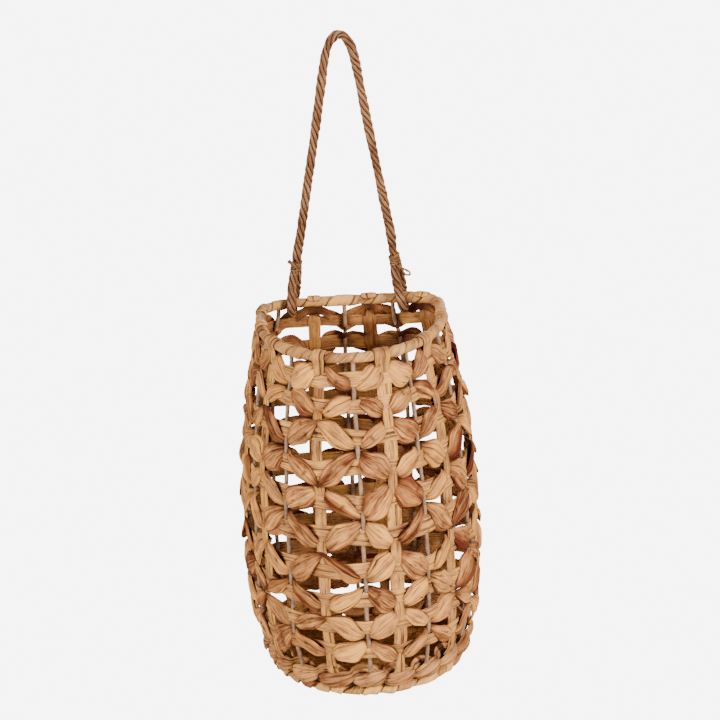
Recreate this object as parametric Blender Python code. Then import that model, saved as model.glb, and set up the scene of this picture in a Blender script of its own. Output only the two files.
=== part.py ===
"""Hanging wall basket: flat strips of water hyacinth woven over a frame of thin wire.

The plan is a D with a bowed front and a nearly flat back that hangs against a wall.
Twenty uprights stand round the wall, by turns bare wire and flat strip. Ten bands run
round outside them. Each band is held by a binder, a strip that zigzags over the band
and dips behind every upright, above the band at one and below it at the next, so that
its crossings look like the petals of a flower. A rope handle swings on the back rim.

Metres, +X to the right, +Y towards the wall, +Z up. The origin is on the floor, in the
middle of the basket's width and depth.
"""

import functools
import math

import bmesh
import bpy
import numpy as np
from mathutils import Matrix, Vector

# Plan and height of the wall, measured on the line of the upright wires
RIM_HEIGHT = 0.356
RIM_HALF_WIDTH = 0.089
RIM_FRONT_DEPTH = 0.113
RIM_BACK_DEPTH = 0.057
BELLY_HEIGHT = 0.150
BELLY_HALF_WIDTH = 0.1125
BELLY_FRONT_DEPTH = 0.137
BELLY_BACK_DEPTH = 0.061
BASE_HALF_WIDTH = 0.096
BASE_FRONT_DEPTH = 0.110
BASE_BACK_DEPTH = 0.057
STRAIGHT_FOOT = 0.012
STRAIGHT_NECK = 0.009
SHOULDER_POWER = 2.0
FOOT_POWER = 3.6
BACK_SQUARENESS = 5.0

# Where the uprights stand, as shares of the wall's outline from the middle of the front
# round by the right. Those with an even number are wires, the others are flat strips.
UPRIGHT_PLACE_SHARES = (
    (0.0, 0.046, 0.095, 0.1425, 0.2025)
    + (0.255, 0.315, 0.375, 0.424, 0.468)
    + (0.511, 0.5625, 0.625, 0.665, 0.7075)
    + (0.75, 0.7925, 0.835, 0.885, 0.9435)
)
SHOULDER_PLACE_SHARE = 0.25
UPRIGHTS = len(UPRIGHT_PLACE_SHARES)
FACETS = 2 * UPRIGHTS
OUTLINE_SAMPLES = 720

# Gaps that let neighbours be separate solids
FIT_GAP = 0.0003
PINCH_GAP = 0.0005

# Frame wires
WIRE_DIAMETER = 0.0035
RING_WIRE_DIAMETER = 0.0045
WIRE_SIDES = 5

# Wrapping of the rim and of the base ring
WRAP_DIAMETER = 0.010
WRAP_OUTER_STEPS = 7
WRAP_INNER_STEPS = 4

# Flat strips that stand between the wires and fold over the rim
STRIP_WIDTH = 0.0125
STRIP_PINCHED_WIDTH = 0.0086
STRIP_FOLD_WIDTH = 0.011
STRIP_THICKNESS = 0.0012
STRIP_TAIL = 0.006
FOLD_STEPS = 4

# Bands round the outside: heights as shares of the rim's height, widths as shares of the row
BAND_HEIGHT_SHARES = (0.940, 0.870, 0.788, 0.702, 0.608, 0.509, 0.410, 0.324, 0.242, 0.162)
BAND_WIDTH_SHARE = 0.36
BAND_THICKNESS = 0.0012

# Binder strips, leaf shaped where they cross a band and bunched behind an upright
PINCH_WIDTH = 0.0036
PINCH_THICKNESS = 0.0016
PINCH_SPREAD = 0.003
LEAF_WIDTH_SHARE = 0.36
LEAF_THICKNESS = 0.003
SHOULDER_THICKNESS = 0.0024
SHOULDER_RISE_SHARE = 0.8
SHOULDER_SLOPE_SHARE = 0.75
SHOULDER_WIDTH_SHARE = 0.55

# Two strands twisted round the uprights above the base ring
BORDER_HEIGHT = 0.021
BORDER_STRAND_DIAMETER = 0.0084
BORDER_SWING = 0.0072
BORDER_RISE = 0.0047
BORDER_SQUARENESS = 0.5
BORDER_SIDES = 5

# Floor of the basket
FLOOR_THICKNESS = 0.002

# Rope handle. The free stretch's points are (half the way across, height over the rim),
# and its middle moves evenly from between the eyes to the shift of its top
ROPE_DIAMETER = 0.0084
EYE_PLACE_SHARES = (-0.646, 0.588)
EYE_GAP = 0.0008
EYE_HEIGHT = 0.033
EYE_TWIST = math.radians(30)
EYE_LEAN = math.radians(8)
EYE_BEND_STEPS = 10
EYE_NECK_STEPS = 5
WHIPPING_HEIGHT = 0.0115
WHIPPING_WALL = 0.0012
WHIPPING_SIDES = 12
ROPE_SIDE_RUNS = (
    (0.0452, 0.068),
    (0.0421, 0.086),
    (0.0388, 0.105),
    (0.0354, 0.125),
    (0.0317, 0.146),
    (0.0279, 0.168),
    (0.0244, 0.189),
    (0.0210, 0.210),
    (0.0180, 0.229),
    (0.0152, 0.246),
    (0.0117, 0.260),
    (0.0064, 0.2695),
)
ROPE_TOP = 0.2730
ROPE_TOP_SHIFT = 0.0023
ROPE_SIDES = 8
ROPE_STEPS_PER_RUN = 2

# Derived sizes that several pieces share
WIRE_RADIUS = WIRE_DIAMETER / 2
RING_WIRE_RADIUS = RING_WIRE_DIAMETER / 2
WRAP_RADIUS = WRAP_DIAMETER / 2
ROPE_RADIUS = ROPE_DIAMETER / 2
STRIP_OUT = WIRE_RADIUS - STRIP_THICKNESS
BAND_IN = WIRE_RADIUS + FIT_GAP
BAND_OUT = BAND_IN + BAND_THICKNESS
LEAF_IN = BAND_OUT + FIT_GAP
SLOT_HALF_WIDTH = WIRE_RADIUS + FIT_GAP
WRAP_ANGLE = math.pi - math.asin(SLOT_HALF_WIDTH / WRAP_RADIUS)
BASE_RING_HEIGHT = WRAP_RADIUS * math.cos(WRAP_ANGLE / WRAP_OUTER_STEPS)
FRONT_REACH = BELLY_FRONT_DEPTH + LEAF_IN + LEAF_THICKNESS
BACK_REACH = BASE_BACK_DEPTH + BORDER_SWING + BORDER_STRAND_DIAMETER / 2
PLAN_SHIFT = (FRONT_REACH - BACK_REACH) / 2


def clear_scene():
    for obj in list(bpy.data.objects):
        bpy.data.objects.remove(obj, do_unlink=True)


def material(name, colour, roughness, metallic=0.0):
    made = bpy.data.materials.new(name)
    made.use_nodes = True
    shader = made.node_tree.nodes["Principled BSDF"]
    shader.inputs["Base Color"].default_value = (*colour, 1.0)
    shader.inputs["Roughness"].default_value = roughness
    shader.inputs["Metallic"].default_value = metallic
    return made


# The wall's shape


def wall_sizes(height):
    """Half width, front depth and back depth of the wall line at a height."""
    height = min(max(height, STRAIGHT_FOOT), RIM_HEIGHT - STRAIGHT_NECK)
    up = max(0.0, (height - BELLY_HEIGHT) / (RIM_HEIGHT - STRAIGHT_NECK - BELLY_HEIGHT))
    down = max(0.0, (BELLY_HEIGHT - height) / (BELLY_HEIGHT - STRAIGHT_FOOT))
    sizes = (
        (RIM_HALF_WIDTH, BELLY_HALF_WIDTH, BASE_HALF_WIDTH),
        (RIM_FRONT_DEPTH, BELLY_FRONT_DEPTH, BASE_FRONT_DEPTH),
        (RIM_BACK_DEPTH, BELLY_BACK_DEPTH, BASE_BACK_DEPTH),
    )
    return [
        belly - (belly - rim) * up**SHOULDER_POWER - (belly - base) * down**FOOT_POWER
        for rim, belly, base in sizes
    ]


def corner_shares():
    """Where the outline is cut into flat facets, as shares of its length.

    Every even facet carries an upright, and every odd one spans the way between two.
    """
    shares = []
    for i, place in enumerate(UPRIGHT_PLACE_SHARES):
        gap = (UPRIGHT_PLACE_SHARES[(i + 1) % UPRIGHTS] - place) % 1
        shares += [place + gap * SHOULDER_PLACE_SHARE, place + gap * (1 - SHOULDER_PLACE_SHARE)]
    return shares


@functools.lru_cache(maxsize=None)
def wall_facets(height):
    """The wall line at a height: its corners, and each facet's outward normal and spot.

    A spot is where an even facet's upright stands, or the middle of an odd facet.
    Corner k ends facet k.
    """
    half_width, front, back = wall_sizes(height)
    turn = np.linspace(-math.pi / 2, 1.5 * math.pi, OUTLINE_SAMPLES + 1)
    cos, sin = np.cos(turn), np.sin(turn)
    squared = 2 / BACK_SQUARENESS
    x = np.where(sin < 0, half_width * cos, half_width * np.sign(cos) * np.abs(cos) ** squared)
    y = np.where(sin < 0, front * sin, back * np.abs(sin) ** squared)
    run = np.concatenate([[0.0], np.cumsum(np.hypot(np.diff(x), np.diff(y)))])
    at = np.array(corner_shares()) * run[-1]
    corners = [
        Vector((px, py + PLAN_SHIFT, height))
        for px, py in zip(np.interp(at, run, x), np.interp(at, run, y), strict=True)
    ]
    normals, spots = [], []
    for k in range(FACETS):
        along = corners[k] - corners[k - 1]
        normals.append(Vector((along.y, -along.x, 0.0)).normalized())
        before = (UPRIGHT_PLACE_SHARES[k // 2] - UPRIGHT_PLACE_SHARES[k // 2 - 1]) % 1
        after = (UPRIGHT_PLACE_SHARES[(k // 2 + 1) % UPRIGHTS] - UPRIGHT_PLACE_SHARES[k // 2]) % 1
        share = before / (before + after) if k % 2 == 0 else 0.5
        spots.append(corners[k - 1] + along * share)
    return corners, normals, spots


def corner(k, height, out):
    """Corner k of the wall line, moved outwards so that both its facets move by out."""
    corners, normals, _ = wall_facets(height)
    first, second = normals[k % FACETS], normals[(k + 1) % FACETS]
    halfway = (first + second).normalized()
    return corners[k % FACETS] + halfway * (out / halfway.dot(first))


def on_facet(k, height, along=0.0, out=0.0):
    """A point near the spot of facet k: along it to the right, and out of the wall."""
    _, normals, spots = wall_facets(height)
    normal = normals[k % FACETS]
    return spots[k % FACETS] + Vector((-normal.y, normal.x, 0.0)) * along + normal * out


def level_normal(k, height):
    return wall_facets(height)[1][k % FACETS]


def leaning_normal(k, height):
    """The outward normal of facet k where it leans in or out with the wall."""
    level = level_normal(k, height)
    rise = on_facet(k, height + BAND_THICKNESS) - on_facet(k, height - BAND_THICKNESS)
    return Vector((-level.y, level.x, 0.0)).cross(rise).normalized()


# Making solids from sections


def add_object(name, mesh, finish):
    mesh.materials.append(finish)
    obj = bpy.data.objects.new(name, mesh)
    bpy.context.scene.collection.objects.link(obj)
    return obj


def lofted(name, sections, finish, closed, smooth=False):
    """One solid through a row of sections, each a list of points; closed joins the ends."""
    bm = bmesh.new()
    rings = [[bm.verts.new(p) for p in section] for section in sections]
    pairs = list(zip(rings, rings[1:], strict=False))
    if closed:
        pairs.append((rings[-1], rings[0]))
    else:
        bm.faces.new(rings[0])
        bm.faces.new(rings[-1])
    for ring, following in pairs:
        count = len(ring)
        for i in range(count):
            j = (i + 1) % count
            bm.faces.new((ring[i], ring[j], following[j], following[i]))
    bmesh.ops.recalc_face_normals(bm, faces=bm.faces)
    mesh = bpy.data.meshes.new(name)
    bm.to_mesh(mesh)
    bm.free()
    if smooth:
        mesh.shade_smooth()
        mesh.set_sharp_from_angle(angle=math.radians(50))
    return add_object(name, mesh, finish)


def round_section(centre, side, up, radius, sides):
    """A regular polygon round a centre, in the plane of side and up."""
    return [
        centre
        + side * (radius * math.cos(2 * math.pi * i / sides))
        + up * (radius * math.sin(2 * math.pi * i / sides))
        for i in range(sides)
    ]


def swept(name, path, radius, sides, finish, closed=False, steady=Vector((0.0, 0.0, 1.0))):
    """A tube along a path; each section keeps one side as near to steady as it can."""
    sections = []
    for i, centre in enumerate(path):
        before = path[i - 1] if i or closed else centre
        after = path[(i + 1) % len(path)] if i + 1 < len(path) or closed else centre
        ahead = (after - before).normalized()
        side = ahead.cross(steady).normalized()
        sections.append(round_section(centre, side, side.cross(ahead), radius, sides))
    return lofted(name, sections, finish, closed, smooth=True)


# Rows of the weave


def band_height(row):
    return BAND_HEIGHT_SHARES[row] * RIM_HEIGHT


def gap_above(row):
    """Half the way from a band to what lies above it, less the spread of the pinch there."""
    if row == 0:
        top = RIM_HEIGHT - WRAP_RADIUS - FIT_GAP - PINCH_WIDTH / 2
        return top - band_height(0)
    return (band_height(row - 1) - band_height(row)) / 2 - PINCH_SPREAD


def gap_below(row):
    last = len(BAND_HEIGHT_SHARES) - 1
    if row == last:
        return gap_above(last)
    return (band_height(row) - band_height(row + 1)) / 2 - PINCH_SPREAD


def row_pitch(row):
    return gap_above(row) + gap_below(row) + 2 * PINCH_SPREAD


def band_half_width(row):
    return BAND_WIDTH_SHARE * row_pitch(row) / 2


def make_band(row, finish):
    """A flat closed hoop outside the uprights, leaning with the wall."""
    low = band_height(row) - band_half_width(row)
    high = band_height(row) + band_half_width(row)
    sections = [
        [
            corner(k, low, BAND_IN),
            corner(k, high, BAND_IN),
            corner(k, high, BAND_OUT),
            corner(k, low, BAND_OUT),
        ]
        for k in range(FACETS)
    ]
    lofted(f"band_{row + 1:02d}", sections, finish, closed=True)


def shoulder_half_width(row, reach):
    """Half the leaf's width where it comes round an upright, small enough to clear the band."""
    room = SHOULDER_RISE_SHARE * reach - band_half_width(row) - FIT_GAP
    return min(SHOULDER_SLOPE_SHARE * room, SHOULDER_WIDTH_SHARE * leaf_half_width(row))


def leaf_half_width(row):
    return LEAF_WIDTH_SHARE * row_pitch(row) / 2


def binder_stations(row):
    """(point, outward normal, half width, thickness, square) along one binder.

    It starts at the middle of the front. A square station stands across the strip's own
    way, and the others stand up the wall.
    """
    middle = band_height(row)
    wires_above = row % 2 == 1
    side_of_wire = WIRE_RADIUS + FIT_GAP + PINCH_GAP + PINCH_THICKNESS / 4
    side_of_strip = STRIP_PINCHED_WIDTH / 2 + PINCH_GAP
    behind_wire = -WIRE_RADIUS - 2 * FIT_GAP - PINCH_THICKNESS
    beside_wire = behind_wire + WIRE_RADIUS
    behind_strip = STRIP_OUT - PINCH_GAP - PINCH_THICKNESS
    half = PINCH_WIDTH / 2

    def reach(upright):
        above = wires_above == (upright % 2 == 0)
        return gap_above(row) if above else -gap_below(row)

    stations = []

    def add(point, normal, half_width, thickness, square=False):
        stations.append((point, normal, half_width, thickness, square))

    def at_upright(k, height, along, out):
        add(on_facet(k, height, along, out), leaning_normal(k, height), half, PINCH_THICKNESS)

    def shoulder(k, upright):
        rise = reach(upright)
        height = middle + SHOULDER_RISE_SHARE * rise
        normal = (leaning_normal(k, height) + leaning_normal(k + 1, height)).normalized()
        width = shoulder_half_width(row, abs(rise))
        add(corner(k, height, LEAF_IN), normal, width, SHOULDER_THICKNESS)

    for upright in range(UPRIGHTS):
        k = 2 * upright
        height = middle + reach(upright)
        if upright % 2 == 0:
            at_upright(k, height, -side_of_wire, beside_wire)
            at_upright(k, height, 0.0, behind_wire)
            at_upright(k, height, side_of_wire, beside_wire)
        else:
            at_upright(k, height, -side_of_strip, behind_strip)
            at_upright(k, height, side_of_strip, behind_strip)
        shoulder(k, upright)
        crossing = on_facet(k + 1, middle, 0.0, LEAF_IN)
        add(crossing, leaning_normal(k + 1, middle), leaf_half_width(row), LEAF_THICKNESS, True)
        shoulder(k + 1, upright + 1)
    return stations


def make_binder(row, finish):
    """A closed zigzag strip: flat inside, crowned outside, widest where it crosses the band."""
    stations = binder_stations(row)
    sections = []
    for i, (point, normal, half_width, thickness, square) in enumerate(stations):
        ahead = stations[(i + 1) % len(stations)][0] - stations[i - 1][0]
        if not square:
            ahead = Vector((-normal.y, normal.x, 0.0))
        across = normal.cross(ahead - normal * ahead.dot(normal)).normalized()
        sections.append(
            [point - across * half_width, point + across * half_width, point + normal * thickness]
        )
    lofted(f"binder_{row + 1:02d}", sections, finish, closed=True)


# Uprights


def upright_name(upright):
    kind = "wire" if upright % 2 == 0 else "strip"
    return f"upright_{kind}_{upright:02d}"


def make_wire(upright, finish):
    k = 2 * upright
    bottom = BASE_RING_HEIGHT + RING_WIRE_RADIUS + FIT_GAP
    top = RIM_HEIGHT - RING_WIRE_RADIUS - FIT_GAP
    rows = [BORDER_HEIGHT] + [band_height(row) for row in reversed(range(len(BAND_HEIGHT_SHARES)))]
    heights = [bottom, STRAIGHT_FOOT, BORDER_HEIGHT]
    heights += [(low + high) / 2 for low, high in zip(rows, rows[1:], strict=False)]
    heights += [RIM_HEIGHT - STRAIGHT_NECK, top]
    sections = []
    for height in heights:
        normal = level_normal(k, height)
        side = Vector((-normal.y, normal.x, 0.0))
        sections.append(
            round_section(on_facet(k, height), side, normal, WIRE_RADIUS, WIRE_SIDES)
        )
    lofted(upright_name(upright), sections, finish, closed=False, smooth=True)


def strip_levels():
    """(height, width) of a flat strip from its foot up to where it leaves for the rim."""
    foot = BASE_RING_HEIGHT + WRAP_RADIUS + FIT_GAP
    levels = [(foot, STRIP_PINCHED_WIDTH), (BORDER_HEIGHT, STRIP_PINCHED_WIDTH)]
    last = len(BAND_HEIGHT_SHARES) - 1
    between = (BORDER_HEIGHT + band_height(last)) / 2
    levels.append((between, STRIP_PINCHED_WIDTH))
    for row in reversed(range(last + 1)):
        pinched_below = row % 2 == 1
        widths = (STRIP_PINCHED_WIDTH, STRIP_WIDTH)
        low, high = widths if pinched_below else widths[::-1]
        levels.append((band_height(row) - band_half_width(row), low))
        levels.append((band_height(row) + band_half_width(row), high))
    return levels


def make_strip(upright, finish):
    """A flat strip that stands on the base ring and folds over the rim from outside."""
    k = 2 * upright
    centre = STRIP_OUT + STRIP_THICKNESS / 2
    sections = []
    for height, width in strip_levels():
        inner, outer = STRIP_OUT, STRIP_OUT + STRIP_THICKNESS
        sections.append(
            [
                on_facet(k, height, -width / 2, inner),
                on_facet(k, height, width / 2, inner),
                on_facet(k, height, width / 2, outer),
                on_facet(k, height, -width / 2, outer),
            ]
        )
    for out, height, lean in rim_fold(centre):
        straight = height <= RIM_HEIGHT - WRAP_RADIUS
        width = STRIP_PINCHED_WIDTH if straight and out > 0 else STRIP_FOLD_WIDTH
        half = STRIP_THICKNESS / 2
        section = []
        for side, along in ((-1, -1), (-1, 1), (1, 1), (1, -1)):
            away = out + side * half * math.cos(lean)
            rise = height + side * half * math.sin(lean) - RIM_HEIGHT
            place = on_facet(k, RIM_HEIGHT, along * width / 2, away)
            section.append(place + Vector((0.0, 0.0, rise)))
        sections.append(section)
    lofted(upright_name(upright), sections, finish, closed=False)


def rim_fold(centre):
    """(out of the wall, height, direction across the strip) where a strip rounds the rim.

    The strip leaves the wall's line under the wrapping, and bends round it in flats that
    touch one circle.
    """
    fold = WRAP_RADIUS + FIT_GAP + STRIP_THICKNESS / 2
    step = math.pi / FOLD_STEPS
    bends = [(centre, RIM_HEIGHT - STRAIGHT_NECK, 0.0), (fold, RIM_HEIGHT - fold / 2, 0.0)]
    for i in range(FOLD_STEPS):
        turn = step * (i + 0.5)
        reach = fold / math.cos(step / 2)
        bends.append((reach * math.cos(turn), RIM_HEIGHT + reach * math.sin(turn), turn))
    bends.append((-fold, RIM_HEIGHT - STRIP_TAIL, math.pi))
    return bends


# Rings


def make_ring_wire(name, height, finish):
    """The welded wire ring inside a wrapping."""
    sections = []
    for k in range(FACETS):
        section = []
        for i in range(WIRE_SIDES):
            turn = 2 * math.pi * i / WIRE_SIDES
            rise = RING_WIRE_RADIUS * math.sin(turn)
            place = corner(k, height, RING_WIRE_RADIUS * math.cos(turn))
            section.append(place + Vector((0.0, 0.0, rise)))
        sections.append(section)
    lofted(name, sections, finish, closed=True, smooth=True)


def wrap_profile(slot_down):
    """(out, up) points of the wrapping's C shape, open on the side where the uprights come in."""
    inner_radius = (RING_WIRE_RADIUS + FIT_GAP) / math.cos(WRAP_ANGLE / WRAP_INNER_STEPS)
    inner_angle = math.pi - math.asin(SLOT_HALF_WIDTH / inner_radius)
    points = []
    for radius, reach, steps, way in (
        (WRAP_RADIUS, WRAP_ANGLE, WRAP_OUTER_STEPS, 1),
        (inner_radius, inner_angle, WRAP_INNER_STEPS, -1),
    ):
        for i in range(steps + 1):
            turn = way * reach * (2 * i / steps - 1)
            points.append((radius * math.sin(turn), radius * math.cos(turn)))
    up = 1 if slot_down else -1
    return [(out, up * rise) for out, rise in points]


def make_wrap(name, height, slot_down, finish):
    profile = wrap_profile(slot_down)
    sections = [
        [corner(k, height, out) + Vector((0.0, 0.0, rise)) for out, rise in profile]
        for k in range(FACETS)
    ]
    lofted(name, sections, finish, closed=True, smooth=True)


def make_border_strand(name, phase, finish):
    """One of two strands that twist round each other and pass each upright on both sides."""
    steps = 2 * FACETS
    path = []
    for step in range(steps):
        turn = math.pi * UPRIGHTS * step / steps + phase
        cos, sin = math.cos(turn), math.sin(turn)
        out = BORDER_SWING * math.copysign(abs(cos) ** BORDER_SQUARENESS, cos)
        rise = BORDER_RISE * math.copysign(abs(sin) ** BORDER_SQUARENESS, sin)
        height = BORDER_HEIGHT + rise
        # even steps fall on facets' spots, odd ones on the corners between them
        k = step // 2
        path.append(corner(k, height, out) if step % 2 else on_facet(k, height, 0.0, out))
    swept(name, path, BORDER_STRAND_DIAMETER / 2, BORDER_SIDES, finish, closed=True)


# Floor of the basket


def make_floor(weave, wire):
    spoke_height = BASE_RING_HEIGHT
    inset = -WRAP_RADIUS - FIT_GAP
    panel_low = spoke_height + WIRE_RADIUS + FIT_GAP
    outline = [corner(k, BASE_RING_HEIGHT, inset) for k in range(FACETS)]
    sections = [
        [Vector((p.x, p.y, height)) for p in outline]
        for height in (panel_low, panel_low + FLOOR_THICKNESS)
    ]
    lofted("floor_panel", sections, weave, closed=False)

    front = on_facet(0, spoke_height, 0.0, inset)
    back = on_facet(FACETS // 2, spoke_height, 0.0, inset)
    swept("floor_spoke_long", [front, back], WIRE_RADIUS, WIRE_SIDES, wire)
    quarter = FACETS // 4
    for name, k in (("floor_spoke_right", quarter), ("floor_spoke_left", FACETS - quarter)):
        outer = on_facet(k, spoke_height, 0.0, inset)
        inner = front.lerp(back, (outer.y - front.y) / (back.y - front.y))
        inner.x += math.copysign(WIRE_RADIUS + FIT_GAP, outer.x)
        swept(name, [inner, outer], WIRE_RADIUS, WIRE_SIDES, wire)


# Rope handle


def eye_centres():
    """The middles of the two eyes, on the level line by the rim where the handle turns."""
    corners = wall_facets(RIM_HEIGHT)[0]
    back = sorted((p.x, p.y) for p in corners if p.y > PLAN_SHIFT)
    places = [share * RIM_HALF_WIDTH for share in EYE_PLACE_SHARES]
    depth = sum(float(np.interp(place, *zip(*back, strict=True))) for place in places) / 2
    return [Vector((place, depth, RIM_HEIGHT)) for place in places]


def leaning(centre):
    """Turns places over an upright eye into those over one that leans to the middle."""
    lean = Matrix.Rotation(-math.copysign(EYE_LEAN, centre.x), 3, "Y")
    return lambda x, y, z: centre + lean @ Vector((x, y, z))


def make_eye(name, centre, finish, parent):
    """A U of rope round the rim, whose legs close up and twist under their whipping."""
    bend = WRAP_RADIUS + EYE_GAP + ROPE_RADIUS
    neck = ROPE_RADIUS + FIT_GAP / 2
    place = leaning(centre)

    def leg(step, way):
        """A leg closes up until its last step, which is straight."""
        share = min(step / (EYE_NECK_STEPS - 1), 1.0)
        ease = share * share * (3 - 2 * share)
        across = way * (bend + (neck - bend) * ease)
        twist = EYE_TWIST * ease
        rise = EYE_HEIGHT * step / EYE_NECK_STEPS
        return place(across * math.sin(twist), across * math.cos(twist), rise)

    path = [leg(step, -1) for step in range(EYE_NECK_STEPS, 0, -1)]
    for i in range(EYE_BEND_STEPS + 1):
        turn = math.pi * (1 + i / EYE_BEND_STEPS)
        path.append(place(0.0, bend * math.cos(turn), bend * math.sin(turn)))
    path += [leg(step, 1) for step in range(1, EYE_NECK_STEPS + 1)]
    eye = swept(name, path, ROPE_RADIUS, ROPE_SIDES, finish, steady=Vector((1.0, 0.0, 0.0)))
    hang(eye, parent)


def make_whipping(name, centre, finish, parent):
    """The oval binding of twine that holds the eye's two legs together."""
    low = EYE_HEIGHT + FIT_GAP
    narrow = ROPE_RADIUS + WHIPPING_WALL
    wide = 2 * ROPE_RADIUS + WHIPPING_WALL
    cos, sin = math.cos(EYE_TWIST), math.sin(EYE_TWIST)
    place = leaning(centre)
    sections = []
    for rise in (low, low + WHIPPING_HEIGHT):
        section = []
        for i in range(WHIPPING_SIDES):
            turn = 2 * math.pi * i / WHIPPING_SIDES
            across, along = narrow * math.cos(turn), wide * math.sin(turn)
            section.append(place(across * cos + along * sin, along * cos - across * sin, rise))
        sections.append(section)
    hang(lofted(name, sections, finish, closed=False, smooth=True), parent)


def hang(obj, parent):
    """Parents a piece whose mesh is in world places, and keeps it there."""
    obj.parent = parent
    obj.matrix_parent_inverse = parent.matrix_world.inverted()


def smooth_through(points, steps):
    """A smooth curve read at even shares of each run between the route's points."""
    ends = [2 * points[0] - points[1], *points, 2 * points[-1] - points[-2]]
    made = []
    for i in range(1, len(ends) - 2):
        before, first, second, after = ends[i - 1 : i + 3]
        for step in range(steps):
            t = step / steps
            made.append(
                (
                    2 * first
                    + (second - before) * t
                    + (2 * before - 5 * first + 4 * second - after) * t**2
                    + (3 * first - before - 3 * second + after) * t**3
                )
                / 2
            )
    return [*made, points[-1]]


def rope_route(left, right):
    """Points of the free stretch, from the left eye's whipping up and down to the right one's."""
    start = EYE_HEIGHT + WHIPPING_HEIGHT + 2 * FIT_GAP
    middle = (left + right) / 2
    ends = [
        [leaning(eye)(0.0, 0.0, start + run) for run in (0.0, ROPE_DIAMETER)]
        for eye in (left, right)
    ]

    def spot(across, rise):
        shift = (ROPE_TOP_SHIFT - middle.x) * rise / ROPE_TOP
        return middle + Vector((shift + across, 0.0, rise))

    up = [spot(-across, rise) for across, rise in ROPE_SIDE_RUNS]
    down = [spot(across, rise) for across, rise in reversed(ROPE_SIDE_RUNS)]
    route = [ends[0][1], *up, spot(0.0, ROPE_TOP), *down, ends[1][1]]
    return [ends[0][0], *smooth_through(route, ROPE_STEPS_PER_RUN), ends[1][0]]


def make_rope(name, left, right, finish, parent):
    """The free stretch of the handle, which goes over the hook."""
    points = rope_route(left, right)
    curve = bpy.data.curves.new(name, "CURVE")
    curve.dimensions = "3D"
    curve.bevel_depth = ROPE_RADIUS
    curve.bevel_resolution = ROPE_SIDES // 2 - 2
    curve.use_fill_caps = True
    spline = curve.splines.new("POLY")
    spline.points.add(len(points) - 1)
    for spot, point in zip(spline.points, points, strict=True):
        spot.co = (*point, 1.0)
    hang(add_object(name, curve, finish), parent)


def make_handle(rope, twine):
    left, right = eye_centres()
    swing = bpy.data.objects.new("handle_swing_axis", None)
    swing.location = (0.0, left.y, left.z)
    bpy.context.scene.collection.objects.link(swing)
    bpy.context.view_layer.update()
    for side, centre in (("left", left), ("right", right)):
        make_eye(f"rope_eye_{side}", centre, rope, swing)
        make_whipping(f"whipping_{side}", centre, twine, swing)
    make_rope("rope_loop", left, right, rope, swing)
    points = rope_route(left, right)
    length = sum((b - a).length for a, b in zip(points, points[1:], strict=False))
    print(f"handle turns on y {left.y:.5f}, z {left.z:.5f}; free rope {length:.4f} m")


def build():
    clear_scene()
    bare_wire = material("drawn steel wire", (0.20, 0.15, 0.11), 0.5, 0.4)
    band = material("dried hyacinth band", (0.55, 0.31, 0.14), 0.7)
    binder = material("dried hyacinth binder", (0.50, 0.27, 0.12), 0.7)
    strip = material("dried hyacinth strip", (0.57, 0.33, 0.13), 0.7)
    wrap = material("wrapped hyacinth", (0.58, 0.36, 0.18), 0.7)
    border = material("twisted hyacinth", (0.47, 0.24, 0.10), 0.7)
    jute = material("laid jute rope", (0.28, 0.15, 0.06), 0.85)
    twine = material("jute twine", (0.24, 0.12, 0.05), 0.85)

    for upright in range(UPRIGHTS):
        if upright % 2 == 0:
            make_wire(upright, bare_wire)
        else:
            make_strip(upright, strip)
    for row in range(len(BAND_HEIGHT_SHARES)):
        make_band(row, band)
        make_binder(row, binder)
    make_ring_wire("rim_wire", RIM_HEIGHT, bare_wire)
    make_ring_wire("base_wire", BASE_RING_HEIGHT, bare_wire)
    make_wrap("rim_wrap", RIM_HEIGHT, True, wrap)
    make_wrap("base_wrap", BASE_RING_HEIGHT, False, wrap)
    make_border_strand("border_strand_a", 0.0, border)
    make_border_strand("border_strand_b", math.pi, border)
    make_floor(strip, bare_wire)
    make_handle(jute, twine)


build()
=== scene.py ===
# %% [markdown]
# # A hanging basket woven from water hyacinth
#
# The real basket is a frame of thin wire, dressed with dried stems of water hyacinth that
# were pressed flat. It has a bowed front and a nearly flat back, and hangs from a rope.
# The imported CAD model is the fixed frame here: it says where each piece sits, and each
# plain solid but the two ring wires is replaced by a piece with folds, creases and fibres.

# %% Load the frame
import math

import bpy
import numpy as np
from mathutils import Matrix, Vector


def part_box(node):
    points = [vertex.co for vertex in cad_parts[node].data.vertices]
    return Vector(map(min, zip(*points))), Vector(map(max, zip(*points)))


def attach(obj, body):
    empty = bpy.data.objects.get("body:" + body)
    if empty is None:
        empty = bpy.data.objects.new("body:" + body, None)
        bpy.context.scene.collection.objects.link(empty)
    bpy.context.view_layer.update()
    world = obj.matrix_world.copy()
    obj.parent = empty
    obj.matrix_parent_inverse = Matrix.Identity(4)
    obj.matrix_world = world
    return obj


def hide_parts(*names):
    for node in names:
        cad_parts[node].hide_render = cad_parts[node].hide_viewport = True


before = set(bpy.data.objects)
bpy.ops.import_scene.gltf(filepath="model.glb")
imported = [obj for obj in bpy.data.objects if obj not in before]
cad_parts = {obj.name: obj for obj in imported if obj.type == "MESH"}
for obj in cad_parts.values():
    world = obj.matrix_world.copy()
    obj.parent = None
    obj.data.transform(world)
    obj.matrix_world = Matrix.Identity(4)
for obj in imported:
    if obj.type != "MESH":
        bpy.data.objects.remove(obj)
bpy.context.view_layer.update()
bpy.ops.object.select_all(action="DESELECT")
MM = 0.001
RANDOM_SEED = 12
rng = np.random.default_rng(RANDOM_SEED)

# %% [markdown]
# ## Camera
#
# The picture was taken from far away with a long lens, a little above the basket, and the
# basket hangs slightly askew in it. A camera that is turned to the optical axis and rolled
# by the same three degrees gives the same lines, and needs no lens shift.

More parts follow.
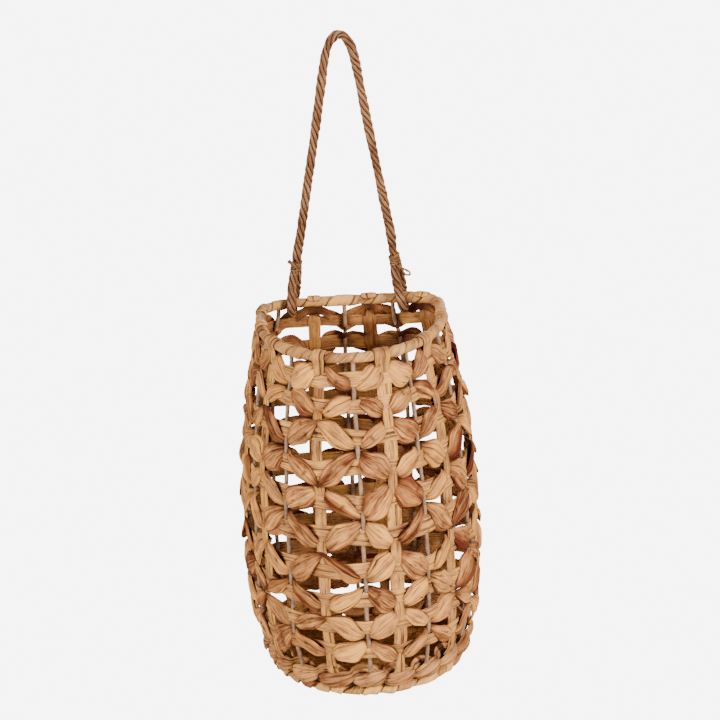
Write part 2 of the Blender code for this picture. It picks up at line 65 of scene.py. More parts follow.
# %% Camera
FRAME_PX = 720
SENSOR_MM = 36.0
LENS_MM = 147.0
EYE_POINT = (0.0, -2.69863, 1.30509)
LOOK_DOWN = math.radians(22.5)
ROLL = math.radians(-3.0)
AXIS_PX = (-0.2, 131.3)


def unit(v):
    v = np.asarray(v, float)
    return v / np.linalg.norm(v, axis=-1, keepdims=True)


def aim_camera():
    ahead = np.array((0.0, math.cos(LOOK_DOWN), -math.sin(LOOK_DOWN)))
    level_up = np.array((0.0, math.sin(LOOK_DOWN), math.cos(LOOK_DOWN)))
    right = math.cos(ROLL) * np.array((1.0, 0.0, 0.0)) + math.sin(ROLL) * level_up
    up = -math.sin(ROLL) * np.array((1.0, 0.0, 0.0)) + math.cos(ROLL) * level_up
    focal_px = LENS_MM / SENSOR_MM * FRAME_PX
    axis = unit(ahead + up * AXIS_PX[1] / focal_px + right * AXIS_PX[0] / focal_px)
    right = unit(right - axis * right.dot(axis))
    data = bpy.data.cameras.new("studio_camera")
    data.lens = LENS_MM
    data.sensor_width = SENSOR_MM
    camera = bpy.data.objects.new("studio_camera", data)
    bpy.context.scene.collection.objects.link(camera)
    matrix = np.eye(4)
    matrix[:3, 0] = right
    matrix[:3, 1] = np.cross(-axis, right)
    matrix[:3, 2] = -axis
    matrix[:3, 3] = EYE_POINT
    camera.matrix_world = Matrix(matrix.tolist())
    bpy.context.scene.camera = camera
    print("camera looks down", round(math.degrees(math.asin(-axis[2])), 2), "degrees")


aim_camera()

# %% [markdown]
# ## Studio
#
# The picture was taken before pure white and lit softly from the front, a little more from
# the upper right. So the world is glaring white to the camera and gives the basket only a
# weak fill from all round. Four softboxes, one of them below, do the rest, and leave the
# inside of the basket in its own shade. A fifth lights the back, for whoever walks round
# it. The basket hangs, so there is no floor.

# %% White surroundings and softboxes
BACKDROP_GLARE = 7.0
FILL_FROM_ALL_ROUND = 0.46
LIT_POINT = (0.0, 0.0, 0.22)
# Name, place and width in metres, power in watts.
SOFTBOXES = (
    ("key_softbox", (2.9, -2.2, 1.7), 0.6, 236.0),
    ("fill_softbox", (-2.8, -2.2, 1.1), 0.8, 140.0),
    ("top_softbox", (0.1, -0.4, 2.8), 1.2, 16.0),
    ("low_softbox", (0.3, -2.5, -1.3), 1.0, 46.0),
    ("back_softbox", (0.4, 3.0, 0.5), 1.0, 70.0),
)


def hex_colour(code):
    """The linear RGBA of an sRGB hex colour."""
    parts = [int(code[i : i + 2], 16) / 255 for i in (0, 2, 4)]
    line = [v / 12.92 if v <= 0.04045 else ((v + 0.055) / 1.055) ** 2.4 for v in parts]
    return (*line, 1.0)


def add_node(tree, kind, inputs=(), **settings):
    """Adds a node with its settings, and with values or links for its sockets."""
    made = tree.nodes.new(kind)
    for name, value in settings.items():
        setattr(made, name, value)
    for name, value in dict(inputs).items():
        if isinstance(value, bpy.types.NodeSocket):
            tree.links.new(value, made.inputs[name])
        else:
            made.inputs[name].default_value = value
    return made


def build_studio():
    world = bpy.data.worlds.new("white_studio")
    world.use_nodes = True
    tree = world.node_tree
    seen = add_node(tree, "ShaderNodeLightPath").outputs["Is Camera Ray"]
    glare = {"Value": seen, "To Min": FILL_FROM_ALL_ROUND, "To Max": BACKDROP_GLARE}
    strength = add_node(tree, "ShaderNodeMapRange", glare)
    sky = tree.nodes["Background"]
    sky.inputs["Color"].default_value = (1.0, 1.0, 1.0, 1.0)
    tree.links.new(strength.outputs["Result"], sky.inputs["Strength"])
    bpy.context.scene.world = world
    for name, place, size, power in SOFTBOXES:
        data = bpy.data.lights.new(name, "AREA")
        data.size = size
        data.energy = power
        lamp = bpy.data.objects.new(name, data)
        bpy.context.scene.collection.objects.link(lamp)
        lamp.location = place
        aim = Vector(LIT_POINT) - Vector(place)
        lamp.rotation_euler = aim.to_track_quat("-Z", "Y").to_euler()
    print(len(SOFTBOXES), "softboxes before white")


build_studio()

# %% [markdown]
# ## Skin over rings of points
#
# Nearly everything on the basket is a long strip or cord that goes over and under its
# neighbours. Such a path can't be pushed into shape with extrude or bend. So each piece
# starts as a grid primitive, like a flat blank of plant, whose rows are laid on the rings
# worked out for it. Then its two long edges are merged, and its ends are closed.

# %% Skin helper
MERGE_DISTANCE = 1e-6
SMOOTH_ANGLE = math.radians(28)


def skin(name, rings, run, girth, tone, closed=False):
    """A closed tube of (rows, columns) points.

    run is how far along the strip each point lies, and girth how far across it, both in
    metres, for the fibres. tone is how pale and how rusty it is, and how much painted shade
    it gets in folds and gaps.
    """
    run = np.broadcast_to(np.asarray(run, float).reshape(len(run), -1), rings.shape[:2])
    girth = np.broadcast_to(girth, rings.shape[:2])
    grids = [np.concatenate([grid, grid[:, :1]], 1) for grid in (rings, run, girth, tone)]
    if closed:
        first = [grid[:1] for grid in grids]
        first[1] = 2 * grids[1][-1:] - grids[1][-2:-1]
        grids = [np.concatenate(pair, 0) for pair in zip(grids, first)]
    rings, run, girth, tone = grids
    rows, columns = run.shape
    bpy.ops.object.select_all(action="DESELECT")
    bpy.ops.mesh.primitive_grid_add(
        x_subdivisions=columns - 1, y_subdivisions=rows - 1, size=1.0, calc_uvs=True
    )
    obj = bpy.context.object
    obj.name = name
    mesh = obj.data
    mesh.name = name
    mesh.vertices.foreach_set("co", rings.reshape(-1))
    corners = np.empty(len(mesh.loops), np.int32)
    mesh.loops.foreach_get("vertex_index", corners)
    flat = np.stack([girth.reshape(-1), run.reshape(-1)], 1)[corners]
    mesh.uv_layers[0].data.foreach_set("uv", flat.reshape(-1).astype(np.float32))
    mesh.uv_layers[0].name = "Strip"
    paint = mesh.color_attributes.new("tone", "FLOAT_COLOR", "POINT")
    rgba = np.concatenate([tone, np.ones((rows, columns, 1))], 2)
    paint.data.foreach_set("color", rgba.reshape(-1).astype(np.float32))
    bpy.ops.object.mode_set(mode="EDIT")
    bpy.ops.mesh.select_all(action="SELECT")
    bpy.ops.mesh.remove_doubles(threshold=MERGE_DISTANCE)
    if not closed:
        bpy.ops.mesh.fill_holes(sides=0)
        bpy.ops.mesh.select_all(action="SELECT")
    bpy.ops.mesh.normals_make_consistent(inside=False)
    bpy.ops.object.mode_set(mode="OBJECT")
    bpy.ops.object.shade_smooth_by_angle(angle=SMOOTH_ANGLE)
    return obj


print("skins stay smooth where faces meet under", round(math.degrees(SMOOTH_ANGLE)), "degrees")

# %% Join and dress
def joined(name, pieces):
    """Several skins made one piece."""
    bpy.ops.object.select_all(action="DESELECT")
    for piece in pieces:
        piece.select_set(True)
    bpy.context.view_layer.objects.active = pieces[0]
    bpy.ops.object.join()
    whole = bpy.context.object
    whole.name = name
    return whole


def dress(obj, node, finish, body="basket"):
    """Gives a finished piece its material and its body, and hides the CAD node that it stands for.
    """
    obj.data.materials.clear()
    obj.data.materials.append(finish)
    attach(obj, body)
    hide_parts(node)


print(len(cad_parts), "CAD nodes to dress")

# %% Paths and their rings
def lengths(path):
    """How far along its path each point lies."""
    steps = np.linalg.norm(np.diff(path, axis=0), axis=1)
    return np.concatenate([[0.0], np.cumsum(steps)])


def along_path(path, closed=False):
    """The unit direction of the path at each of its points."""
    if closed:
        return unit(np.roll(path, -1, 0) - np.roll(path, 1, 0))
    return unit(np.gradient(path, axis=0))


def ribbon_rings(path, facing, across, out, closed=False):
    """Rings of points round a path: across and out give each ring's section in metres."""
    ahead = along_path(path, closed)
    face = unit(facing - ahead * (facing * ahead).sum(1, keepdims=True))
    side = np.cross(face, ahead)
    return path[:, None] + side[:, None] * across[..., None] + face[:, None] * out[..., None]


print("a path of 3 m and 4 m is", lengths(np.array(((0, 0), (3, 0), (3, 4))))[-1], "m long")

# %% Drifts
def ease(share):
    share = np.clip(share, 0.0, 1.0)
    return share * share * (3 - 2 * share)


def wander(rows, knots, size, closed=True):
    """A slow random drift of about that size, which closes on itself where it has to."""
    values = rng.normal(0.0, size, knots)
    at = np.arange(rows) / rows * knots
    low = np.floor(at).astype(int)
    mix = ease(at - low)
    high = (low + 1) % knots if closed else np.minimum(low + 1, knots - 1)
    return values[low % knots] * (1 - mix) + values[high] * mix


print("an eased share of 0.25 is", round(float(ease(0.25)), 3))

# %% Sections of a strip
def flat_section(face, back):
    """Places across a strip, from -1 to 1: over its face and back along its underside."""
    over = np.linspace(1.0, -1.0, face)
    under = np.linspace(-1.0, 1.0, back + 2)[1:-1]
    return np.concatenate([over, under]), np.arange(face + back) < face


def pressed(across, on_face, top, crown, under, dent=0.0, power=6):
    """How far out a pressed strip's section lies: rounded edges and a domed, dented face."""
    edge = np.sqrt(1 - np.abs(across) ** power)
    return np.where(on_face, top * edge + crown * (1 - across**2) - dent, -under * edge)


print("a flat section of 5 and 3 points:", flat_section(5, 3)[0].round(1))

# %% Creases, tones and painted shade
EDGE_SHARE = 0.9
CREASE_DRIFT_SHARE = 0.08
CREASE_FADE = 0.5
CREASE_STRONGEST = 1.6
# How much painted shade a crease gets, and how much of it goes into the tone.
CREASE_SHADE = (0.35, 0.9)
FOLD_SHADE = 0.8
# Painted shade on the inner faces, added to pale, rust and fold: browner and darker inside.
INNER_FACE_SHADE = (-0.02, 0.36, 0.05)


def creased(across, on_face, rows, count, depth, width, spread=0.7):
    """(dent, fold) of long creases that wander a little along a strip; fold is painted shade in
    them.
    """
    dent = np.zeros((rows, len(across)))
    fold = np.zeros((rows, len(across)))
    for _ in range(count):
        middle = rng.uniform(-spread, spread)
        middle = middle + wander(rows, max(4, rows // 20), CREASE_DRIFT_SHARE, False)
        slim = rng.uniform(*width)
        mark = np.exp(-(((across[None] - middle[:, None]) / slim) ** 2)) * on_face
        strength = 1.0 + wander(rows, max(4, rows // 14), CREASE_FADE, False)
        mark = mark * np.clip(strength, 0.0, CREASE_STRONGEST)[:, None]
        dent += mark * rng.uniform(*depth)
        fold = np.maximum(fold, mark * rng.uniform(*CREASE_SHADE))
    return dent, np.clip(fold, 0.0, 1.0)


def toned(rows, columns, pale=0.5, rust=0.0, fold=0.0):
    """How pale, how rusty and how much painted shade: one number, one for each row, or a grid."""
    tone = np.zeros((rows, columns, 3))
    for i, part in enumerate((pale, rust, fold)):
        tone[..., i] = part[:, None] if np.ndim(part) == 1 else part
    return tone


def shade_inner_faces(tone, on_face):
    """Painted shade on the strips' inner faces: browner and darker than the outside."""
    for i, change in enumerate(INNER_FACE_SHADE):
        tone[:, ~on_face, i] += change


print("inner faces change in pale, rust and fold by", INNER_FACE_SHADE)

# %% [markdown]
# ## Materials
#
# Dried water hyacinth is a spongy stem, pressed flat. Its skin is satin tan with long
# fine fibres, paler in places, and rusty brown where it was bruised or folded. So the
# material reads the fibres along each strip from its UV map, which is in metres, and the
# tone, rust and painted shade of folds from the attribute that the modelling gave every
# point. It paints more shade into crevices, from how closed in each place is.

# %% Patterns along a strip
# Real fibres are about 0.3 mm wide. They are drawn coarser, so that they show.
FIBRE_MM = 1.05
FIBRE_LENGTH_MM = 17.0
STREAK_MM = 3.2
LINE_SPACING_MM = 2.4
LONG_STREAKS = 3.0


def strip_patterns(tree, fibre, length):
    """Noise drawn out along the strip: fine fibres, broad streaks and few dark lines."""
    strip = add_node(tree, "ShaderNodeUVMap", uv_map="Strip")
    patterns = []
    for width, reach, detail in (
        (fibre, length, 3.0),
        (STREAK_MM, LONG_STREAKS * length, 2.0),
        (LINE_SPACING_MM, LONG_STREAKS * length, 0.0),
    ):
        per_metre = (1 / (width * MM), 1 / (reach * MM), 1.0)
        grid = add_node(
            tree, "ShaderNodeMapping", {"Vector": strip.outputs["UV"], "Scale": per_metre}
        )
        noise = {"Vector": grid.outputs["Vector"], "Scale": 1.0, "Detail": detail, "Roughness": 0.6}
        patterns.append(add_node(tree, "ShaderNodeTexNoise", noise).outputs["Fac"])
    return patterns


print("fibres are drawn", FIBRE_MM, "mm wide and", FIBRE_LENGTH_MM, "mm long")

# %% Colour of the fibres
BLOTCH_MM = 16.0
FIBRE_WEIGHT = 1.55
STREAK_WEIGHT = 0.45
BLOTCH_WEIGHT = 0.8
RAMP_PLACES = (0.08, 0.48, 0.92)


def fibrous_colour(tree, fibres, streaks, pale_part, colours):
    """The ramp from deep to pale, moved by the fibres, the streaks and broad blotches."""
    place = add_node(tree, "ShaderNodeTexCoord").outputs["Object"]
    noise = {"Vector": place, "Scale": 1 / (BLOTCH_MM * MM), "Detail": 2.0}
    blotches = add_node(tree, "ShaderNodeTexNoise", noise).outputs["Fac"]
    total = pale_part
    for pattern, weight in (
        (fibres, FIBRE_WEIGHT),
        (streaks, STREAK_WEIGHT),
        (blotches, BLOTCH_WEIGHT),
    ):
        centred = add_node(tree, "ShaderNodeMath", {0: pattern, 1: 0.5}, operation="SUBTRACT")
        weighed = {0: centred.outputs[0], 1: weight, 2: total}
        total = add_node(tree, "ShaderNodeMath", weighed, operation="MULTIPLY_ADD").outputs[0]
    ramp = add_node(tree, "ShaderNodeValToRGB", {"Fac": total})
    stops = ramp.color_ramp.elements
    stops.new(RAMP_PLACES[1])
    for stop, place, colour in zip(stops, RAMP_PLACES, colours):
        stop.position = place
        stop.color = hex_colour(colour)
    return ramp.outputs["Color"]


print("blotches are", BLOTCH_MM, "mm wide")

# %% Painted shade in folds and crevices, and dark lines
CREVICE_SHADE_MM = 6.0
FOLD_SHADE_WEIGHT = 1.15
LINE_WEIGHT = 1.3
LINE_SHARE = 0.026
CREVICE_SHADE_WEIGHT = 0.9
# Painted crevice shade is darkest where a place is open by the first share, and gone by the second.
OPEN_SHARES = (0.25, 0.95)


def shade_and_line_share(tree, fibres, lines, fold_shade_part):
    """How dark a place is: painted shade in its folds and in the crevice it lies in, and its
    dried-in lines.
    """
    off_line = add_node(tree, "ShaderNodeMath", {0: lines, 1: 0.5}, operation="SUBTRACT")
    off_line = add_node(tree, "ShaderNodeMath", {0: off_line.outputs[0]}, operation="ABSOLUTE")
    fade = {"Value": off_line.outputs[0], "From Max": LINE_SHARE}
    fade["To Min"], fade["To Max"] = LINE_WEIGHT, 0.0
    line = add_node(tree, "ShaderNodeMapRange", fade).outputs["Result"]
    line = add_node(tree, "ShaderNodeMath", {0: line, 1: fibres}, operation="MULTIPLY")
    # Painted shade in crevices, read from how closed in the place is.
    nearby = add_node(
        tree, "ShaderNodeAmbientOcclusion", {"Distance": CREVICE_SHADE_MM * MM}, samples=8
    )
    crevice = {"Value": nearby.outputs["AO"], "To Min": CREVICE_SHADE_WEIGHT, "To Max": 0.0}
    crevice["From Min"], crevice["From Max"] = OPEN_SHARES
    crevice = add_node(tree, "ShaderNodeMapRange", crevice).outputs["Result"]
    dark = {0: fold_shade_part, 1: FOLD_SHADE_WEIGHT, 2: line.outputs[0]}
    dark = add_node(tree, "ShaderNodeMath", dark, operation="MULTIPLY_ADD")
    dark = add_node(tree, "ShaderNodeMath", {0: dark.outputs[0], 1: crevice}, operation="ADD")
    dark.use_clamp = True
    return dark.outputs[0]


print("crevices darken over", CREVICE_SHADE_MM, "mm")

# %% Plant strip material
FIBRE_RELIEF_MM = 0.5
FIBRE_BUMP = 0.9
STREAK_RELIEF = 0.8
ROUGHNESS = {"To Min": 0.5, "To Max": 0.78}
RUST_WEIGHT = 1.9
# The brown of the dried-in lines, and of the painted shade in folds and crevices.
SHADE_AND_LINE_BROWN = hex_colour("3a1a0b")
SATIN = 0.09


def new_material(name):
    made = bpy.data.materials.new(name)
    made.use_nodes = True
    return made, made.node_tree, made.node_tree.nodes["Principled BSDF"]


def plant_strip(
    name, deep, mid, pale, rust, fibre=FIBRE_MM, length=FIBRE_LENGTH_MM, gloss=SATIN
):
    """Pressed and dried stem skin: satin, fibrous, never one even colour."""
    made, tree, shader = new_material(name)
    fibres, streaks, lines = strip_patterns(tree, fibre, length)
    tone = add_node(tree, "ShaderNodeAttribute", attribute_name="tone")
    parts = add_node(tree, "ShaderNodeSeparateColor", {"Color": tone.outputs["Color"]}).outputs
    skin_colour = fibrous_colour(tree, fibres, streaks, parts["Red"], (deep, mid, pale))
    # The green channel is rust, and also painted shade beside flat uprights and on inner faces.
    rusty = add_node(
        tree, "ShaderNodeMath", {0: parts["Green"], 1: streaks}, operation="MULTIPLY"
    )
    rusty = add_node(
        tree, "ShaderNodeMath", {0: rusty.outputs[0], 1: RUST_WEIGHT}, operation="MULTIPLY"
    )
    rusty.use_clamp = True
    # Sockets 6 and 7 of a Mix node are its two colours, and output 2 is the mixed one.
    mix = {"Factor": rusty.outputs[0], 6: skin_colour, 7: hex_colour(rust)}
    bruised = add_node(tree, "ShaderNodeMix", mix, data_type="RGBA").outputs[2]
    # Painted shade of folds and crevices, and the dried-in lines, darken the colour.
    mix = {"Factor": shade_and_line_share(tree, fibres, lines, parts["Blue"]), 6: bruised, 7: SHADE_AND_LINE_BROWN}
    folded = add_node(tree, "ShaderNodeMix", mix, data_type="RGBA").outputs[2]
    dull = add_node(tree, "ShaderNodeMapRange", {"Value": fibres, **ROUGHNESS})
    height = {0: streaks, 1: STREAK_RELIEF, 2: fibres}
    height = add_node(tree, "ShaderNodeMath", height, operation="MULTIPLY_ADD").outputs[0]
    raised = {"Height": height, "Strength": FIBRE_BUMP, "Distance": FIBRE_RELIEF_MM * MM}
    bump = add_node(tree, "ShaderNodeBump", raised)
    tree.links.new(folded, shader.inputs["Base Color"])
    tree.links.new(dull.outputs["Result"], shader.inputs["Roughness"])
    tree.links.new(bump.outputs["Normal"], shader.inputs["Normal"])
    shader.inputs["Specular IOR Level"].default_value = gloss
    return made


petal_finish = plant_strip("pressed hyacinth, binder", "5c2912", "b87a46", "fcae54", "5e2210")
band_finish = plant_strip("pressed hyacinth, band", "602f15", "bd824d", "fcb357", "662a10")
strip_finish = plant_strip("pressed hyacinth, upright", "602f15", "bd824a", "fcb355", "662a10")
wrap_finish = plant_strip("pressed hyacinth, wrapping", "5c2d15", "c18853", "fbb55c", "6a2a10")
border_finish = plant_strip("twisted hyacinth, border", "602d14", "c38552", "fbb35c", "66280f")
# The floor's colours are darker than the walls', as painted shade of the basket's inside.
shaded_floor_finish = plant_strip(
    "plaited hyacinth, floor, painted shade", "4a260d", "7d4a24", "aa7442", "4c1e0c", gloss=0.0
)
print("six tints of dried hyacinth")

# %% [markdown]
# ## Rope and wire finishes
#
# The rope is laid and the twine spun from jute, a stiff plant fibre: dull and hairy, with
# painted shade between the strands. The strip material does for it too, with finer and shorter
# fibres.
# The frame wire has a thin coat of clay-coloured paint, which dried a little patchy.

# %% Rope, twine and wire finishes
# A jute fibre is about 0.1 mm thick. It is drawn coarser, so that it shows.
ROPE_FIBRE_MM = 0.7
ROPE_FIBRE_LENGTH_MM = 9.0
ROPE_GLOSS = 0.18
PAINT_PATCH_MM = 6.25
PAINT_RELIEF_MM = 0.15
PAINT_BUMP = 0.4
PAINT_ROUGHNESS = 0.55
PAINT_COLOURS = (("6f5039", 0.3), ("ac8562", 0.7))


def spun_jute(name, deep, mid, pale):
    """Dull plant fibres that run with the strands; the tone can add painted shade in the lay."""
    hair = (ROPE_FIBRE_MM, ROPE_FIBRE_LENGTH_MM, ROPE_GLOSS)
    return plant_strip(name, deep, mid, pale, deep, *hair)


def painted_wire():
    """Drawn iron wire under a thin dull coat of clay-coloured paint."""
    made, tree, shader = new_material("clay-painted iron wire")
    place = add_node(tree, "ShaderNodeTexCoord").outputs["Object"]
    noise = {"Vector": place, "Scale": 1 / (PAINT_PATCH_MM * MM), "Detail": 4.0}
    patches = add_node(tree, "ShaderNodeTexNoise", noise).outputs["Fac"]
    ramp = add_node(tree, "ShaderNodeValToRGB", {"Fac": patches})
    for stop, (colour, position) in zip(ramp.color_ramp.elements, PAINT_COLOURS):
        stop.position = position
        stop.color = hex_colour(colour)
    raised = {"Height": patches, "Strength": PAINT_BUMP, "Distance": PAINT_RELIEF_MM * MM}
    bump = add_node(tree, "ShaderNodeBump", raised)
    tree.links.new(ramp.outputs["Color"], shader.inputs["Base Color"])
    tree.links.new(bump.outputs["Normal"], shader.inputs["Normal"])
    shader.inputs["Roughness"].default_value = PAINT_ROUGHNESS
    return made


jute = spun_jute("laid jute rope", "542e17", "92613d", "bf8e60")
twine = spun_jute("jute twine", "4c2913", "86582f", "ab7f56")
wire_finish = painted_wire()
print("rope, twine and wire finishes")

# %% [markdown]
# ## The wall
#
# Every woven piece follows one wall: a D-shaped outline that swells to a belly and
# narrows to the rim. The same sizes as in the CAD source give a table of outlines, one
# for each height, and a piece asks for a point by its share of the way round, from the
# middle of the front by the right, and its height.

# %% Wall
RIM_HEIGHT = 0.356
BELLY_HEIGHT = 0.150
# Half the width, the depth of the bowed front and the depth of the flat back.
RIM_SIZE = np.array((0.089, 0.113, 0.057))
BELLY_SIZE = np.array((0.1125, 0.137, 0.061))
BASE_SIZE = np.array((0.096, 0.110, 0.057))
STRAIGHT_FOOT = 0.012
STRAIGHT_NECK = 0.009
SHOULDER_POWER = 2.0
FOOT_POWER = 3.6
BACK_SQUARENESS = 5.0
PLAN_SHIFT = 0.037575
UPRIGHT_PLACES = np.array(
    (0.0, 0.046, 0.095, 0.1425, 0.2025)
    + (0.255, 0.315, 0.375, 0.424, 0.468)
    + (0.511, 0.5625, 0.625, 0.665, 0.7075)
    + (0.75, 0.7925, 0.835, 0.885, 0.9435)
)
UPRIGHTS = len(UPRIGHT_PLACES)
TABLE_ROWS = 191
TABLE_STEP = 2 * MM
TABLE_LOW = -4 * MM
TABLE_COLUMNS = 1440


def outline(height):
    """The wall's outline at one height, at even shares of its length."""
    neck = RIM_HEIGHT - STRAIGHT_NECK
    height = min(max(height, STRAIGHT_FOOT), neck)
    up = max(0.0, (height - BELLY_HEIGHT) / (neck - BELLY_HEIGHT)) ** SHOULDER_POWER
    down = max(0.0, (BELLY_HEIGHT - height) / (BELLY_HEIGHT - STRAIGHT_FOOT)) ** FOOT_POWER
    size = BELLY_SIZE - (BELLY_SIZE - RIM_SIZE) * up - (BELLY_SIZE - BASE_SIZE) * down
    half_width, front, back = size
    turn = np.linspace(-math.pi / 2, 1.5 * math.pi, TABLE_COLUMNS + 1)
    cos, sin = np.cos(turn), np.sin(turn)
    squared = 2 / BACK_SQUARENESS
    blunt = half_width * np.sign(cos) * np.abs(cos) ** squared
    x = np.where(sin < 0, half_width * cos, blunt)
    y = np.where(sin < 0, front * sin, back * np.abs(sin) ** squared)
    run = lengths(np.stack([x, y], 1))
    at = np.linspace(0.0, run[-1], TABLE_COLUMNS + 1)
    return np.stack([np.interp(at, run, x), np.interp(at, run, y) + PLAN_SHIFT], 1)


table = np.array([outline(TABLE_LOW + i * TABLE_STEP) for i in range(TABLE_ROWS)])
print("wall table of", table.shape[0], "heights by", table.shape[1], "places")

# %% Places on the wall
SLOPE_SHARE = 0.004
SLOPE_RISE = 3 * MM
UP = np.array((0.0, 0.0, 1.0))


def wall_point(share, height):
    """The wall's point at a share of the way round and a height, read between table rows."""
    share, height = np.broadcast_arrays(np.asarray(share, float) % 1.0, height)
    column = share * TABLE_COLUMNS
    row = np.clip((height - TABLE_LOW) / TABLE_STEP, 0, TABLE_ROWS - 1.001)
    c, r = np.floor(column).astype(int) % TABLE_COLUMNS, np.floor(row).astype(int)
    fc, fr = (column - np.floor(column))[..., None], (row - r)[..., None]
    flat = (table[r, c] * (1 - fc) + table[r, c + 1] * fc) * (1 - fr)
    flat = flat + (table[r + 1, c] * (1 - fc) + table[r + 1, c + 1] * fc) * fr
    return np.concatenate([flat, height[..., None]], -1)


def wall_normal(share, height, level=False):
    """The wall's outward direction, square to the wall or kept level."""
    share, height = np.broadcast_arrays(np.asarray(share, float), height)
    along = wall_point(share + SLOPE_SHARE, height) - wall_point(share - SLOPE_SHARE, height)
    up = wall_point(share, height + SLOPE_RISE) - wall_point(share, height - SLOPE_RISE)
    return unit(np.cross(along, np.broadcast_to(UP, along.shape) if level else up))


print("rim outline", round(lengths(outline(RIM_HEIGHT))[-1], 3), "m long")

# %% Uneven hands
UNEVEN_WAVES = 7
UNEVEN_RISE = 0.85 * MM
UNEVEN_SIDEWAYS = 0.35 * MM
WAVE_LENGTHS = (0.045, 0.110)
EVEN_UNDER_RIM = 8 * MM
EVEN_OVER_BASE = 6 * MM
RIM_BLEND = 22 * MM
BASE_BLEND = 30 * MM
wave_length = rng.uniform(*WAVE_LENGTHS, UNEVEN_WAVES)
wave_vector = unit(rng.normal(0.0, 1.0, (UNEVEN_WAVES, 3))) * (2 * math.pi / wave_length)[:, None]
wave_start = rng.uniform(0.0, 2 * math.pi, UNEVEN_WAVES)
wave_size = (UNEVEN_SIDEWAYS, UNEVEN_SIDEWAYS, UNEVEN_RISE)
wave_push = rng.normal(0.0, 1.0, (UNEVEN_WAVES, 3)) * wave_size


def hand_made(point):
    """Moves a place a little, mostly up or down, as weaving by hand is never even.

    All that lies together moves together, so pieces stay clear of each other.
    """
    wave = np.sin(point @ wave_vector.T + wave_start)
    below_rim = ease((RIM_HEIGHT - EVEN_UNDER_RIM - point[..., 2]) / RIM_BLEND)
    above_base = ease((point[..., 2] - EVEN_OVER_BASE) / BASE_BLEND)
    return point + (wave @ wave_push) * (below_rim * above_base)[..., None]


def on_wall(share, height, out=0.0):
    point = wall_point(share, height) + wall_normal(share, height) * np.asarray(out)[..., None]
    return hand_made(point)


print(UNEVEN_WAVES, "slow waves,", round(1000 * wave_length.min()), "mm and longer")

# %% [markdown]
# ## Frame wires
#
# Ten bare wires stand between the rim and the base ring. They are plain round wire, so
# each is a thin tube that follows the wall, and only its small bends and its paint show.
# The top of one is pushed aside, where the foot of a rope's eye lies against it.

# %% Upright wires
WIRE_RADIUS = 2.05 * MM
WIRE_SIDES = 12
WIRE_ROWS = 70
WIRE_BENDS = 9
WIRE_DRIFT_SHARE = 0.0006
BASE_RING_HEIGHT = 4.62 * MM
PUSHED_WIRE = 8
PUSHED = 2.6 * MM
PUSHED_FROM = RIM_HEIGHT - 40 * MM
PUSHED_OVER = 20 * MM


def round_section(rows, sides, radius):
    """(across, out) of a round section for each row of a tube."""
    turn = np.linspace(0.0, 2 * math.pi, sides, endpoint=False)
    radius = np.broadcast_to(np.asarray(radius, float).reshape(-1, 1), (rows, sides))
    return radius * np.cos(turn), radius * np.sin(turn)


def tube(name, path, facing, radius, sides, tone=None):
    across, out = round_section(len(path), sides, radius)
    rings = ribbon_rings(path, facing, across, out)
    girth = np.linspace(0.0, 2 * math.pi, sides, endpoint=False) * float(np.mean(radius))
    tone = toned(len(path), sides) if tone is None else tone
    return skin(name, rings, lengths(path), girth[None], tone)


def stand_wires():
    heights = np.linspace(BASE_RING_HEIGHT, RIM_HEIGHT, WIRE_ROWS)
    for upright in range(0, UPRIGHTS, 2):
        share = UPRIGHT_PLACES[upright] + wander(WIRE_ROWS, WIRE_BENDS, WIRE_DRIFT_SHARE, False)
        path = on_wall(share, heights)
        if upright == PUSHED_WIRE:
            path[:, 0] -= PUSHED * ease((heights - PUSHED_FROM) / PUSHED_OVER)
        facing = wall_normal(share, heights)
        wire = tube(f"bare_wire_{upright:02d}", path, facing, WIRE_RADIUS, WIRE_SIDES)
        dress(wire, f"upright_wire_{upright:02d}", wire_finish)
    print("ten bare wires,", round(2000 * WIRE_RADIUS, 1), "mm thick")


stand_wires()

# %% Ring wires
# The wrappings hide these two, so they keep their CAD form and only get the paint.
for name in ("rim_wire", "base_wire"):
    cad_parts[name].data.materials.clear()
    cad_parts[name].data.materials.append(wire_finish)
print("two ring wires painted")

# %% [markdown]
# ## Bands
#
# Ten flat strips run round outside the uprights, one for each row. A band is straight
# and plain, but its edges are never quite even, it lies closer to the wall between two
# uprights, and a fold or two runs along it. Behind, the bands are wider and close more of
# the back. Only the top one is narrower and lower there, to leave the rope's eyes room.

# %% Rows of the weave
BAND_HEIGHTS = RIM_HEIGHT * np.array(
    (0.940, 0.870, 0.788, 0.702, 0.608, 0.509, 0.410, 0.324, 0.242, 0.162)
)
ROWS = len(BAND_HEIGHTS)
PINCH_SPREAD = 3 * MM
RIM_UNDERSIDE = RIM_HEIGHT - 5.3 * MM
TOP_PINCH_CLEARANCE = 1.8 * MM
SEAM_UPRIGHT = 11
BACK_HALF_SHARE = 0.20
BACK_BLEND_SHARE = 0.05
GAPS = (np.roll(UPRIGHT_PLACES, -1) - UPRIGHT_PLACES) % 1


def gap_above(row):
    if row == 0:
        return RIM_UNDERSIDE - TOP_PINCH_CLEARANCE - BAND_HEIGHTS[0]
    return (BAND_HEIGHTS[row - 1] - BAND_HEIGHTS[row]) / 2 - PINCH_SPREAD


def gap_below(row):
    return gap_above(row) if row == ROWS - 1 else gap_above(row + 1)


def row_pitch(row):
    return gap_above(row) + gap_below(row) + 2 * PINCH_SPREAD


def round_the_wall(steps):
    """(upright before, way to the next one, share) at even steps in each gap.

    The round starts at the back, where the seam of a strip shows least.
    """
    upright = np.repeat((np.arange(UPRIGHTS) + SEAM_UPRIGHT) % UPRIGHTS, steps)
    way = np.tile(np.arange(steps) / steps, UPRIGHTS)
    return upright, way, UPRIGHT_PLACES[upright] + GAPS[upright] * way


